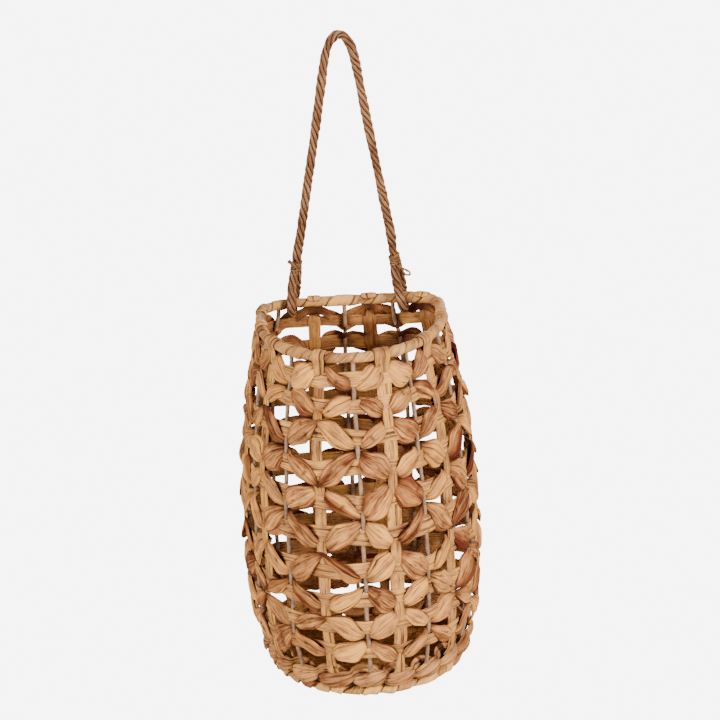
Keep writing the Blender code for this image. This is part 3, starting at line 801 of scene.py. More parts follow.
def at_the_back(share):
    """How much a place belongs to the flat back: 0 on the front and sides, 1 behind."""
    return ease((BACK_HALF_SHARE - np.abs(share % 1.0 - 0.5)) / BACK_BLEND_SHARE)


print("rows are", [round(1000 * row_pitch(row), 1) for row in range(ROWS)], "mm high")

# %% Bands
BAND_STEPS = 16
BAND_FACE = 13
BAND_BACK = 5
BAND_OUT = 2.6 * MM
BAND_DIP = 0.7 * MM
BAND_OUT_DRIFT = 0.15 * MM
BAND_HEIGHT_DRIFT = 0.5 * MM
BAND_EDGE_DRIFT = 0.45 * MM
BAND_WIDTH_SHARE = 0.49
BAND_SEAM_SHARE = 0.02
BAND_TOP = 0.75 * MM
BAND_CROWN = 0.45 * MM
BAND_UNDER = 0.35 * MM
TOP_BAND_SAG = 1.2 * MM
WIDER_BEHIND_SHARES = (-0.19, 0.05, 0.06, 0.06, 0.15, 0.35, 0.1, 0.1, 0.5, 0.6)
STRIP_CREASE_DEPTH = (0.1 * MM, 0.35 * MM)
BAND_CREASE_SHARES = (0.05, 0.10)
STRIP_CREASES = 3
BAND_PALE = 0.55
BAND_EDGE_RUST = 0.25
STRIP_GIRTH = 6.5 * MM


def lay_bands():
    across, on_face = flat_section(BAND_FACE, BAND_BACK)
    _, way, share = round_the_wall(BAND_STEPS)
    rows = len(share)
    behind = at_the_back(share)
    ends = np.arange(rows) / rows
    seam = ease(np.minimum(ends, 1 - ends) / BAND_SEAM_SHARE)[:, None]
    widest = 0.0
    for row in range(ROWS):
        out = BAND_OUT - BAND_DIP * np.sin(math.pi * way) ** 2 + wander(rows, 40, BAND_OUT_DRIFT)
        height = BAND_HEIGHTS[row] + wander(rows, 20, BAND_HEIGHT_DRIFT)
        if row == 0:
            height = height - TOP_BAND_SAG * behind
        path = on_wall(share, height, out)
        half = BAND_WIDTH_SHARE * row_pitch(row) / 2 + wander(rows, 60, BAND_EDGE_DRIFT)
        half = half * (1 + WIDER_BEHIND_SHARES[row] * behind)
        widest = max(widest, 2 * half.max())
        dent, fold = creased(
            across, on_face, rows, STRIP_CREASES, STRIP_CREASE_DEPTH, BAND_CREASE_SHARES
        )
        lift = pressed(across, on_face, BAND_TOP, BAND_CROWN, BAND_UNDER, dent * seam)
        rings = ribbon_rings(path, wall_normal(share, height), half[:, None] * across, lift, True)
        pale = BAND_PALE + wander(rows, 24, 0.09)
        rust = np.clip(wander(rows, 18, 0.22) - 0.1, 0, 1)[:, None]
        rust = rust + BAND_EDGE_RUST * (np.abs(across) > EDGE_SHARE)
        tone = toned(rows, len(across), pale, rust, FOLD_SHADE * fold * seam)
        # The band's inner faces get painted shade.
        shade_inner_faces(tone, on_face)
        band = skin(
            f"flat_band_{row + 1:02d}", rings, lengths(path), across[None] * STRIP_GIRTH, tone, True
        )
        dress(band, f"band_{row + 1:02d}", band_finish)
    print("ten bands, the widest", round(1000 * widest, 1), "mm")


lay_bands()

# %% [markdown]
# ## Binders, the petals
#
# The strips that hold the bands zigzag over them and dip behind each upright, above the
# band at one and below it at the next. Between two dips a strip opens out like a petal:
# widest over the band, gathered to a cord where it goes behind. Seen from inside, it also
# opens like a lens behind a flat upright, and here and there it stays outside the upright
# and holds it like a collar. Each petal gets its own width, folds and tint, because no two
# stems are alike.

# %% Route of a binder
PETAL_STEPS = 18
OVER_BAND = 3.5 * MM
PETAL_LIFT = 0.9 * MM
BEHIND_WIRE = -3.0 * MM
BEHIND_STRIP = -1.0 * MM
DIP_DRIFT = 0.9 * MM
ZIGZAG_ROUNDING = 0.2
COLLAR_SHARE = 0.3
LENS_HALF_WIDTH = 5.2 * MM
LENS_SHARES = (0.6, 1.0)
LENS_SHARE = 0.8
LENS_REACH_SHARE = 0.26
HELD_SHARE = 0.03
HELD_BY_STRIP_SHARE = 0.10
TOP_LENS_SHARE = 1.1
TOP_LENS_REACH_SHARE = 0.42
TOP_LENS_STRETCH = 0.9


def per_petal(low, high):
    return np.repeat(rng.uniform(low, high, UPRIGHTS), PETAL_STEPS)


def lengthened(way, upright, share):
    """The way with the stretches behind the flat uprights drawn out, at the back only.

    The top row's lenses there are long, and seen through the mouth.
    """
    strip_first = upright % 2 == 1
    power = 1 + TOP_LENS_STRETCH * at_the_back(share)
    from_strip = np.where(strip_first, way, 1 - way) ** power
    return np.where(strip_first, from_strip, 1 - from_strip)


def zigzag(row, upright, way):
    """Height of the binder along its petals, with uneven dips."""
    uneven = rng.normal(0.0, DIP_DRIFT, UPRIGHTS)
    above = (np.arange(UPRIGHTS) % 2 == 0) == (row % 2 == 1)
    reach = np.where(above, gap_above(row), -gap_below(row)) + uneven
    swing = (1 - ZIGZAG_ROUNDING) * (1 - 2 * way) + ZIGZAG_ROUNDING * np.cos(math.pi * way)
    following = reach[(upright + 1) % UPRIGHTS]
    return BAND_HEIGHTS[row] + np.where(swing > 0, reach[upright] * swing, -following * swing)


def dip_behind(row, near, to_upright):
    """(out, lens): how far out the strip lies, and how wide its lens is there."""
    at_strip = np.arange(UPRIGHTS) % 2 == 1
    collar = at_strip & (rng.random(UPRIGHTS) < COLLAR_SHARE) & (row > 0)
    behind = np.where(at_strip, BEHIND_STRIP, BEHIND_WIRE)
    behind = np.where(collar, OVER_BAND, behind)[near]
    lens = np.where(at_strip, rng.uniform(*LENS_SHARES, UPRIGHTS), 0.0) * LENS_HALF_WIDTH
    lens = lens * (TOP_LENS_SHARE if row == 0 else LENS_SHARE)
    over = OVER_BAND + per_petal(0.0, PETAL_LIFT)
    long_lens = at_strip[near] & (row == 0)
    reach = np.where(long_lens, TOP_LENS_REACH_SHARE, LENS_REACH_SHARE)
    held = np.where(at_strip[near] & ~collar[near], HELD_BY_STRIP_SHARE, HELD_SHARE)
    out = behind + (over - behind) * ease((to_upright - held) / (reach - held))
    return out, lens[near] * np.sqrt(np.clip(1 - (to_upright / reach) ** 2, 0, 1))


dip = round(1000 * (OVER_BAND - BEHIND_WIRE), 1)
print("petals dip", dip, "mm, from over a band to behind a wire")

# %% Edges of a petal
PINCH_HALF_WIDTH = 1.9 * MM
WIDEST_SHARES = (0.54, 0.98)
WIDEST_PLACE_POWERS = (0.68, 1.5)
EDGE_CORNER_SHARES = (0.34, 0.66)
EDGE_BULGE = 1.4
EDGE_DRIFT_SHARE = 0.08
EDGE_DRIFT_LIMIT = 0.2


def petal_edges(row, way, share, lens):
    """(widest, half widths on the two sides), each side with a corner of its own."""
    widest = per_petal(*WIDEST_SHARES) * row_pitch(row) / 2
    widest = widest * (1 + WIDER_BEHIND_SHARES[row] * at_the_back(share))
    edges = []
    for _ in range(2):
        corner = per_petal(*EDGE_CORNER_SHARES)
        shape = 1 - (1 - np.minimum(way / corner, (1 - way) / (1 - corner))) ** EDGE_BULGE
        edge = PINCH_HALF_WIDTH + (widest - PINCH_HALF_WIDTH) * shape
        drift = wander(len(way), 4 * UPRIGHTS, EDGE_DRIFT_SHARE)
        edge = edge * (1 + np.clip(drift, -EDGE_DRIFT_LIMIT, EDGE_DRIFT_LIMIT))
        edges.append(np.maximum(edge, lens)[:, None])
    return widest, edges


print("gathered petals are", round(2000 * PINCH_HALF_WIDTH, 1), "mm wide")

# %% Folds of a petal
PETAL_FOLDS = 6
FOLD_PLACE_DRIFT = 0.16
FOLD_DEPTH = 1.1 * MM
FOLD_FAN = 0.35
FOLD_MARK_SHARE = 0.05
FACET_TINT = 0.15


def folded_petals(across, on_face, way, upright, swell):
    """(dent, fold, tint) of petals that dried in long flat facets with sharp folds between; fold is
    painted shade in the valley folds.
    """
    dent, fold, tint = np.zeros((3, len(way), len(across)))
    for petal in range(UPRIGHTS):
        places = np.linspace(-1, 1, PETAL_FOLDS)
        places = places + rng.uniform(-FOLD_PLACE_DRIFT, FOLD_PLACE_DRIFT, PETAL_FOLDS)
        deep = rng.uniform(-FOLD_DEPTH, FOLD_DEPTH, PETAL_FOLDS)
        facets = rng.uniform(-FACET_TINT, FACET_TINT, PETAL_FOLDS + 1)
        fan = rng.uniform(-FOLD_FAN, FOLD_FAN)
        valley = deep - (np.roll(deep, 1) + np.roll(deep, -1)) / 2
        for row in np.flatnonzero(upright == petal):
            at = places + (way[row] - 0.5) * fan
            dent[row] = np.interp(across, at, deep) * swell[row] ** 0.5
            tint[row] = facets[np.searchsorted(at, across)]
            mark = np.exp(-(((across[:, None] - at[None]) / FOLD_MARK_SHARE) ** 2))
            # Painted shade only in the valley folds.
            fold[row] = (mark * np.clip(valley / FOLD_DEPTH, 0.0, 1.0)).max(1)
    return dent * on_face, fold * on_face, tint * on_face


print(PETAL_FOLDS, "folds up to", round(2000 * FOLD_DEPTH, 1), "mm high in a petal")

# %% Section of a petal
CROWN_SHARES = (0.02, 0.22)
GATHERED_CROWN = 1.2 * MM
RIB_HEIGHT = 0.8 * MM
RIB_WIDTH_SHARE = 0.16
RIB_PLACES = (-0.8, 0.8)
RIB_TINT = 0.12
PETAL_TOP = 1.0 * MM
PETAL_UNDER = 0.5 * MM


def petal_section(across, on_face, way, upright, swell, widest):
    """(lift, fold, tint) of petals: a low dome with a rib and folds, rounder where gathered."""
    crown = widest * per_petal(*CROWN_SHARES) * swell**0.6 + GATHERED_CROWN * (1 - swell)
    dent, fold, tint = folded_petals(across, on_face, way, upright, swell)
    ridge = per_petal(*RIB_PLACES)
    rib = np.exp(-(((across[None] - ridge[:, None]) / RIB_WIDTH_SHARE) ** 2)) * on_face
    dent = dent - rib * (per_petal(0.0, RIB_HEIGHT) * swell)[:, None]
    edge = np.sqrt(1 - np.abs(across) ** 8)
    face = PETAL_TOP * edge + crown[:, None] * (1 - across**2) ** 0.8 - dent * edge
    return np.where(on_face, face, -PETAL_UNDER * edge), fold, tint + RIB_TINT * rib


thin = round(1000 * (PETAL_TOP + PETAL_UNDER), 1)
print("a petal without its crown and folds is", thin, "mm thick")

# %% Tint of a petal
PETAL_TINTS = (0.3, 0.44, 0.56, 0.7)
PETAL_EDGE_SHARE = 0.86
PETAL_EDGE_RUST = (0.1, 0.9)
RUST_MEAN = 0.10
RUST_SPREAD = 0.5
ONE_SIDED = 1.6
# Painted shade where a petal is gathered to a cord, and beside the flat uprights it goes behind.
PINCH_SHADE_TINT = -0.16
PINCH_SHADE = 0.6
STRIP_SHADE_SHARE = 0.16
STRIP_SHADE = 0.35
TOP_STRIP_SHADE = 0.3


def petal_tone(across, on_face, swell, fold, tint, shaded):
    """Each petal has one of four tints, and rust on one side of it or on its edges, with painted
    shade where it is gathered and beside flat uprights.
    """
    stem = np.repeat(rng.choice(PETAL_TINTS, UPRIGHTS), PETAL_STEPS)
    pale = (stem + PINCH_SHADE_TINT * (1 - swell) ** 2)[:, None] + tint
    bruised = np.clip(rng.normal(RUST_MEAN, RUST_SPREAD, UPRIGHTS), 0.0, 1.0)
    bruised = np.repeat(bruised, PETAL_STEPS)[:, None]
    one_side = np.clip(0.5 + across[None] * per_petal(-ONE_SIDED, ONE_SIDED)[:, None], 0, 1)
    edge_rust = per_petal(*PETAL_EDGE_RUST)[:, None] * (np.abs(across) > PETAL_EDGE_SHARE)
    rust = bruised * one_side + edge_rust + shaded[:, None]
    dark = np.clip(FOLD_SHADE * fold + PINCH_SHADE * (1 - swell[:, None]) ** 3, 0, 1)
    tone = toned(len(swell), len(across), pale, rust, dark)
    # The petals' inner faces get painted shade.
    shade_inner_faces(tone, on_face)
    return tone


print("four tints of petal:", PETAL_TINTS)

# %% Weave the binders
PETAL_FACE = 29
PETAL_BACK = 7
PETAL_ROLL = 20.0
PETAL_GIRTH = 7 * MM


def weave_binders():
    across, on_face = flat_section(PETAL_FACE, PETAL_BACK)
    for row in range(ROWS):
        upright, way, share = round_the_wall(PETAL_STEPS)
        if row == 0:
            way = lengthened(way, upright, share)
        height = zigzag(row, upright, way)
        near = np.where(way < 0.5, upright, (upright + 1) % UPRIGHTS)
        to_upright = np.minimum(way, 1 - way)
        out, lens = dip_behind(row, near, to_upright)
        path = on_wall(share, height, out)
        swell = np.sin(math.pi * way ** per_petal(*WIDEST_PLACE_POWERS))
        widest, edges = petal_edges(row, way, share, lens)
        half = np.where(across[None] > 0, *edges)
        roll = np.radians(per_petal(-PETAL_ROLL, PETAL_ROLL)) * swell
        facing = wall_normal(share, height)
        side = np.cross(facing, along_path(path, True))
        facing = facing * np.cos(roll)[:, None] + side * np.sin(roll)[:, None]
        lift, fold, tint = petal_section(across, on_face, way, upright, swell, widest)
        rings = ribbon_rings(path, facing, half * across, lift, True)
        # Painted shade beside a flat upright, put in the rust channel.
        shaded = np.exp(-((to_upright / STRIP_SHADE_SHARE) ** 2)) * (near % 2 == 1)
        shaded = shaded * (TOP_STRIP_SHADE if row == 0 else STRIP_SHADE)
        tone = petal_tone(across, on_face, swell, fold, tint, shaded)
        run = lengths(path) + np.repeat(rng.uniform(0.0, 1.0, UPRIGHTS), PETAL_STEPS)
        name = f"petal_binder_{row + 1:02d}"
        binder = skin(name, rings, run, across[None] * PETAL_GIRTH, tone, True)
        dress(binder, f"binder_{row + 1:02d}", petal_finish)
    print("ten binders of", UPRIGHTS, "petals")


weave_binders()

# %% [markdown]
# ## Flat uprights
#
# Between the wires stand flat strips. They run under the bands and over the gathered
# petals, where they are squeezed narrow, and at the top each folds over the rim from the
# outside and tucks in behind it.

# %% Flat uprights on the wall
STRIP_STEPS = 150
STRIP_FOOT = BASE_RING_HEIGHT + 4.4 * MM
STRIP_BEND = RIM_HEIGHT - 9 * MM
WEAVE_TOP = RIM_HEIGHT - 6 * MM
WEAVE_FOOT = 24 * MM
STRIP_HALF_WIDTH = 6.6 * MM
STRIP_WIDTH_SHARES = (0.88, 1.16)
SQUEEZED_HALF_WIDTH = 4.6 * MM
SQUEEZED_WIDTH_SHARES = (0.85, 1.15)
STRIP_EDGE_DRIFT = 0.25 * MM
STRIP_DRIFT_SHARE = 0.0012
STRIP_OUT = 0.9 * MM
STRIP_BULGE = 2.1 * MM
LEAST_BULGE_SHARE = 0.4
BULGE_STEEPNESS = 1.3
SQUEEZE_STEEPNESS = 1.6


def up_the_wall(upright):
    """(path, outward direction, half widths, full half width) from its foot to the rim."""
    heights = np.linspace(STRIP_FOOT, STRIP_BEND, STRIP_STEPS)
    rows = np.concatenate([[WEAVE_TOP], BAND_HEIGHTS, [WEAVE_FOOT]])
    squeeze, bulge = np.zeros((2, STRIP_STEPS))
    for i, (above, below) in enumerate(zip(rows[:-1], rows[1:])):
        near = np.clip(1 - np.abs(heights - (above + below) / 2) / ((above - below) / 2), 0, 1)
        bulge = np.maximum(bulge, ease(near * BULGE_STEEPNESS))
        if i % 2 == 0:
            squeeze = np.maximum(squeeze, ease(near * SQUEEZE_STEEPNESS))
    wide = STRIP_HALF_WIDTH * rng.uniform(*STRIP_WIDTH_SHARES)
    narrow = SQUEEZED_HALF_WIDTH * rng.uniform(*SQUEEZED_WIDTH_SHARES)
    half = wide - (wide - narrow) * squeeze + wander(STRIP_STEPS, 16, STRIP_EDGE_DRIFT, False)
    pressed_out = LEAST_BULGE_SHARE + (1 - LEAST_BULGE_SHARE) * squeeze
    out = STRIP_OUT + STRIP_BULGE * bulge * pressed_out
    share = UPRIGHT_PLACES[upright] + wander(STRIP_STEPS, 8, STRIP_DRIFT_SHARE, False)
    return on_wall(share, heights, out), wall_normal(share, heights), half, wide


print("flat uprights are about", round(2000 * STRIP_HALF_WIDTH, 1), "mm wide")

# %% Fold over the rim
RIM_WRAP_RADIUS = 5.0 * MM
RIM_FOLD_STEPS = 26
RIM_FOLD_OUT = 0.7 * MM
RIM_FOLD_TURN = (-0.35, 0.86 * math.pi)
RIM_FOLD_WIDTH_SHARE = 1.08
TUCKED_WIDTH_SHARES = (0.95, 0.85, 0.7, 0.4)
WIDENING_STEPS = 10
WIDENED_SHARE = 0.9


def over_the_rim(upright, wide):
    """(path, outward direction, half widths) of its fold and its tucked-in tail."""
    place = UPRIGHT_PLACES[upright]
    level = wall_normal(place, RIM_HEIGHT, level=True)
    turn = np.linspace(*RIM_FOLD_TURN, RIM_FOLD_STEPS)
    radial = np.cos(turn)[:, None] * level + np.sin(turn)[:, None] * UP
    half = np.full(RIM_FOLD_STEPS, wide * RIM_FOLD_WIDTH_SHARE)
    half[-len(TUCKED_WIDTH_SHARES) :] *= TUCKED_WIDTH_SHARES
    path = wall_point(place, RIM_HEIGHT) + radial * (RIM_WRAP_RADIUS + RIM_FOLD_OUT)
    return path, radial, half


def strip_shape(upright):
    path, facing, half, wide = up_the_wall(upright)
    fold_path, fold_facing, fold_half = over_the_rim(upright, wide)
    blend = ease(np.linspace(0, 1, WIDENING_STEPS))
    widened = fold_half[0] * WIDENED_SHARE
    half[-WIDENING_STEPS:] = half[-WIDENING_STEPS:] * (1 - blend) + widened * blend
    return (
        np.concatenate([path, fold_path]),
        np.concatenate([facing, fold_facing]),
        np.concatenate([half, fold_half]),
    )


def smoothed(path, passes=3):
    """Rounds the small kinks where two stretches of a path meet."""
    for _ in range(passes):
        inner = path[:-2] * 0.25 + path[1:-1] * 0.5 + path[2:] * 0.25
        path = np.concatenate([path[:1], inner, path[-1:]])
    return path


print("a fold ends", round(math.degrees(RIM_FOLD_TURN[1])), "degrees round the rim")

# %% Stand the flat uprights
STRIP_FACE = 13
STRIP_BACK = 5
STRIP_TOP = 0.7 * MM
STRIP_CROWN = 0.5 * MM
SQUEEZED_CROWN = 2.2 * MM
STRIP_UNDER = 0.4 * MM
STRIP_CREASE_SHARES = (0.04, 0.10)
UPRIGHT_TINTS = (0.48, 0.68)
UPRIGHT_EDGE_RUST = 0.3


def stand_strips():
    across, on_face = flat_section(STRIP_FACE, STRIP_BACK)
    for upright in range(1, UPRIGHTS, 2):
        path, facing, half = strip_shape(upright)
        path, facing = smoothed(path), unit(smoothed(facing))
        rows = len(path)
        dent, fold = creased(
            across, on_face, rows, STRIP_CREASES, STRIP_CREASE_DEPTH, STRIP_CREASE_SHARES
        )
        crown = STRIP_CROWN + SQUEEZED_CROWN * (1 - half / half.max())
        lift = pressed(across, on_face, STRIP_TOP, crown[:, None], STRIP_UNDER, dent)
        rings = ribbon_rings(path, facing, half[:, None] * across, lift)
        pale = rng.uniform(*UPRIGHT_TINTS) + wander(rows, 14, 0.07, False)
        rust = np.clip(wander(rows, 12, 0.3, False) - 0.15, 0, 1)[:, None]
        rust = rust + UPRIGHT_EDGE_RUST * (np.abs(across) > EDGE_SHARE)
        tone = toned(rows, len(across), pale, rust, FOLD_SHADE * fold)
        # The upright's inner faces get painted shade.
        shade_inner_faces(tone, on_face)
        run = lengths(path) + rng.uniform(0.0, 1.0)
        name = f"flat_upright_{upright:02d}"
        strip = skin(name, rings, run, across[None] * STRIP_GIRTH, tone)
        dress(strip, f"upright_strip_{upright:02d}", strip_finish)
    print("ten flat uprights, folded over the rim")


stand_strips()

# %% [markdown]
# ## Wrapped rim and base ring
#
# A strip is wound round each ring wire in a close spiral, every turn lapping the one
# before. A spiral that climbs round a closed ring is a sawtooth on a torus: the surface
# rises slowly across a turn and drops at its edge, where painted shade darkens the seam.

# %% Wrapped rings
WRAP_ROWS = 1300
WRAP_COLUMNS = 26
SEAM_WIDTH_SHARE = 0.035
SEAM_RUST_SHARE = 0.06
# The width of the painted shade in each seam.
SEAM_SHADE_SHARE = 0.03
SEAM_DEPTH_SHARE = 0.5
SEAM_RUST = 0.35
TURN_DRIFT = 0.10
SLOW_TURN_DRIFT = 0.40
LAP_MIDDLE = 0.6
LAP_TINT = 0.06
FLAP_SHARES = (0.5, 1.5)
TURN_TINT = 0.13
RIM_WINDING = {
    "radius": RIM_WRAP_RADIUS + 0.3 * MM,
    "turns": 27,
    "lap": 0.8 * MM,
    "lumps": 0.45 * MM,
    "rusty": 0.25,
    "pale": 0.55,
}
BASE_WINDING = {
    "radius": 5.1 * MM,
    "turns": 34,
    "lap": 1.7 * MM,
    "lumps": 0.5 * MM,
    "rusty": 0.5,
    "pale": 0.66,
}


def wind_ring(name, node, height, radius, turns, lap, lumps, rusty, pale):
    """A wound ring whose every turn has its own lap, tint and bruise."""
    share = np.arange(WRAP_ROWS) / WRAP_ROWS
    turn = np.linspace(0.0, 2 * math.pi, WRAP_COLUMNS, endpoint=False)
    centre = wall_point(share, np.full(WRAP_ROWS, height))
    level = wall_normal(share, np.full(WRAP_ROWS, height), level=True)
    uneven = wander(WRAP_ROWS, turns * 2, TURN_DRIFT)
    uneven = uneven + wander(WRAP_ROWS, turns // 2, SLOW_TURN_DRIFT)
    phase = (turns * share + uneven)[:, None] + turn[None] / (2 * math.pi)
    index = np.floor(phase).astype(int) % turns
    part = phase - np.floor(phase)
    to_seam = np.minimum(part, 1 - part)
    flap = rng.uniform(*FLAP_SHARES, turns)[index]
    size = radius + lap * flap * (part - LAP_MIDDLE)
    size = size + wander(WRAP_ROWS, turns * 3, lumps)[:, None]
    size = size - SEAM_DEPTH_SHARE * lap * np.exp(-((to_seam / SEAM_WIDTH_SHARE) ** 2))
    direction = level[:, None] * np.sin(turn)[None, :, None] + UP * np.cos(turn)[None, :, None]
    rings = centre[:, None] + direction * size[..., None]
    pitch = lengths(centre)[-1] / turns
    tint = rng.uniform(pale - TURN_TINT, pale + TURN_TINT, turns)[index]
    tint = tint + LAP_TINT * (part - 0.5)
    bruise = np.clip(rng.normal(0.0, rusty, turns), 0, 1)[index]
    bruise = bruise + SEAM_RUST * np.exp(-((to_seam / SEAM_RUST_SHARE) ** 2))
    # Painted shade in the seams, deeper at some turns than at others.
    dark = np.clip(rng.normal(0.5, 0.5, turns), 0, 1)[index]
    dark = dark * np.exp(-((to_seam / SEAM_SHADE_SHARE) ** 2))
    tone = toned(WRAP_ROWS, WRAP_COLUMNS, tint, bruise, dark)
    run = radius * (turn[None] + 2 * math.pi * index)
    ring = skin(name, rings, run, part * pitch, tone, True)
    dress(ring, node, wrap_finish)
    print(name, turns, "turns,", round(1000 * pitch, 1), "mm each")


wind_ring("wound_rim", "rim_wrap", RIM_HEIGHT, **RIM_WINDING)
wind_ring("wound_base", "base_wrap", BASE_RING_HEIGHT, **BASE_WINDING)

# %% [markdown]
# ## Border over the base
#
# Two thick bundles twist round each other and pass every upright on both sides. Each
# keeps its flat side outwards, is widest where it comes outside, and narrows where it
# slips between the other one and an upright.

# %% Twisted border
BORDER_HEIGHT = 21.5 * MM
BORDER_STEPS = 22
BORDER_FACE = 15
BORDER_BACK = 7
BORDER_SWING_UP = 3.0 * MM
BORDER_SWING_OUT = 5.2 * MM
BORDER_SWING_POWER = 0.55
BORDER_LOWER_BEHIND = 2.0 * MM
BORDER_WIDER_BEHIND_SHARE = 0.5
BORDER_HEIGHT_DRIFT = 0.6 * MM
BORDER_OUT_DRIFT = 0.4 * MM
BORDER_ROLL = 0.30
BORDER_ROLL_DRIFT = 0.12
BORDER_HALF_WIDTH = 4.6 * MM
BORDER_WIDENS = 4.4 * MM
BORDER_WIDENS_POWER = 1.4
BORDER_WIDTH_SHARE = 0.97
BORDER_WIDTH_DRIFT_SHARE = 0.07
BORDER_TOP = 1.5 * MM
BORDER_UNDER = 1.6 * MM
BORDER_CROWN = 0.8 * MM
BORDER_OUTER_CROWN = 1.4 * MM
# Their count, depths, widths and spread over the strip.
BORDER_CREASES = (7, (0.3 * MM, 0.9 * MM), (0.03, 0.08), 0.9)
BORDER_PALE = 0.55
# Painted shade where a strand narrows between the other one and an upright, and in its creases.
BORDER_NARROW_SHADE_TINT = -0.08
BORDER_EDGE_RUST = 0.3
BORDER_FOLD_SHADE = 0.7
BORDER_NARROW_SHADE = 0.25
BORDER_GIRTH = 9 * MM


def twist_border(name, node, phase):
    across, on_face = flat_section(BORDER_FACE, BORDER_BACK)
    upright, way, share = round_the_wall(BORDER_STEPS)
    rows = len(share)
    turn = math.pi * (upright + way) + phase
    flat = np.sign(np.cos(turn)) * np.abs(np.cos(turn)) ** BORDER_SWING_POWER
    outside = np.abs(flat)
    behind = at_the_back(share)
    height = BORDER_HEIGHT + BORDER_SWING_UP * np.sin(turn) - BORDER_LOWER_BEHIND * behind
    height = height + wander(rows, 30, BORDER_HEIGHT_DRIFT)
    path = on_wall(share, height, BORDER_SWING_OUT * flat + wander(rows, 24, BORDER_OUT_DRIFT))
    roll = BORDER_ROLL * np.sin(turn) + wander(rows, 20, BORDER_ROLL_DRIFT)
    level = unit(np.cross(along_path(path, True), UP))
    facing = level * np.cos(roll)[:, None] + UP * np.sin(roll)[:, None]
    half = BORDER_HALF_WIDTH + BORDER_WIDENS * outside**BORDER_WIDENS_POWER
    half = half * (BORDER_WIDTH_SHARE + wander(rows, 30, BORDER_WIDTH_DRIFT_SHARE))
    half = half * (1 + BORDER_WIDER_BEHIND_SHARE * behind)
    dent, fold = creased(across, on_face, rows, *BORDER_CREASES)
    crown = (BORDER_CROWN + BORDER_OUTER_CROWN * np.maximum(flat, 0.0))[:, None]
    lift = pressed(across, on_face, BORDER_TOP, crown, BORDER_UNDER, dent, power=4)
    rings = ribbon_rings(path, facing, half[:, None] * across, lift, True)
    pale = BORDER_PALE + wander(rows, 20, 0.1) + BORDER_NARROW_SHADE_TINT * (1 - outside)
    rust = np.clip(wander(rows, 20, 0.35), 0, 1)[:, None]
    rust = rust + BORDER_EDGE_RUST * (np.abs(across) > EDGE_SHARE)
    # Painted shade in the creases and where the strand is narrow.
    narrow = ((1 - outside) ** 2)[:, None]
    dark = np.clip(BORDER_FOLD_SHADE * fold + BORDER_NARROW_SHADE * narrow, 0, 1)
    tone = toned(rows, len(across), pale, rust, dark)
    strand = skin(name, rings, lengths(path), across[None] * BORDER_GIRTH, tone, True)
    dress(strand, node, border_finish)


twist_border("twisted_strand_a", "border_strand_a", 0.0)
twist_border("twisted_strand_b", "border_strand_b", math.pi)
print("two strands twisted round", UPRIGHTS, "uprights")

# %% [markdown]
# ## Floor
#
# The floor is a plain plait of flat strips, seen through the lowest windows and from below,
# and coloured darker than the walls as painted shade. Each strip is a thin ribbon that goes
# over one neighbour and under the next, cut to length by the outline of the base ring. Three
# wires cross under it.

# %% Strips of the floor
MAT_FACE = 7
MAT_BACK = 3
MAT_PITCH = 11.5 * MM
MAT_HALF_WIDTH = 5.95 * MM
MAT_RIPPLE = 0.75 * MM
MAT_HEIGHT = 8.3 * MM
MAT_STEP = 2.5 * MM
MAT_DRIFT = 0.2 * MM
MAT_EDGE_DRIFT = 0.15 * MM
MAT_TOP = 0.45 * MM
MAT_UNDER = 0.35 * MM
MAT_GIRTH = 5 * MM
MAT_TINTS = (0.35, 0.65)
MAT_RUST = (0.0, 0.3)


def chord(ring, axis, at):
    """Where a straight line crosses the outline: its lowest and highest point."""
    a, b = ring, np.roll(ring, -1, 0)
    cut = (a[:, axis] - at) * (b[:, axis] - at) < 0
    if cut.sum() < 2:
        return 0.0, 0.0
    a, b = a[cut], b[cut]
    share = (at - a[:, axis]) / (b[:, axis] - a[:, axis])
    other = a[:, 1 - axis] + share * (b[:, 1 - axis] - a[:, 1 - axis])
    return other.min(), other.max()


def mat_strip(ring, axis, i, at, ends):
    """One strip of the plait, which crosses the floor at a place on the axis."""
    across, on_face = flat_section(MAT_FACE, MAT_BACK)
    rows = int((ends[1] - ends[0]) / MAT_STEP)
    way = np.linspace(*ends, rows)
    other = ring[:, 1 - axis]
    first = (other.min() + other.max()) / 2 - MAT_PITCH / 2
    wave = np.cos(math.pi * ((way - first) / MAT_PITCH + i)) * (1 if axis else -1)
    path = np.zeros((rows, 3))
    path[:, axis] = at + wander(rows, 6, MAT_DRIFT, False)
    path[:, 1 - axis] = way
    path[:, 2] = MAT_HEIGHT + MAT_RIPPLE * wave
    half = MAT_HALF_WIDTH + wander(rows, 8, MAT_EDGE_DRIFT, False)
    lift = pressed(across, on_face, MAT_TOP, 0.0, MAT_UNDER)
    rings = ribbon_rings(path, np.tile(UP, (rows, 1)), half[:, None] * across, lift)
    tone = toned(rows, len(across), rng.uniform(*MAT_TINTS), rng.uniform(*MAT_RUST))
    run = lengths(path) + rng.uniform(0.0, 1.0)
    return skin(f"mat_{axis}_{i}", rings, run, across[None] * MAT_GIRTH, tone)


print("a strip every", round(1000 * MAT_PITCH, 1), "mm")

# %% Plait the floor
MAT_SHORTEST = 3 * MAT_PITCH
MAT_OUTLINE_POINTS = 240


def plait_floor():
    share = np.linspace(0, 1, MAT_OUTLINE_POINTS, endpoint=False)
    ring = wall_point(share, np.full(MAT_OUTLINE_POINTS, BASE_RING_HEIGHT))
    strips = []
    for axis in (0, 1):
        low, high = ring[:, axis].min(), ring[:, axis].max()
        count = int((high - low) / MAT_PITCH)
        for i in range(count):
            at = (low + high) / 2 + (i - (count - 1) / 2) * MAT_PITCH
            ends = chord(ring, axis, at)
            if ends[1] - ends[0] >= MAT_SHORTEST:
                strips.append(mat_strip(ring, axis, i, at, ends))
    mat = joined("plaited_floor", strips)
    mat.data.name = "plaited_floor"
    dress(mat, "floor_panel", shaded_floor_finish)
    print("floor plaited from", len(strips), "strips")


plait_floor()

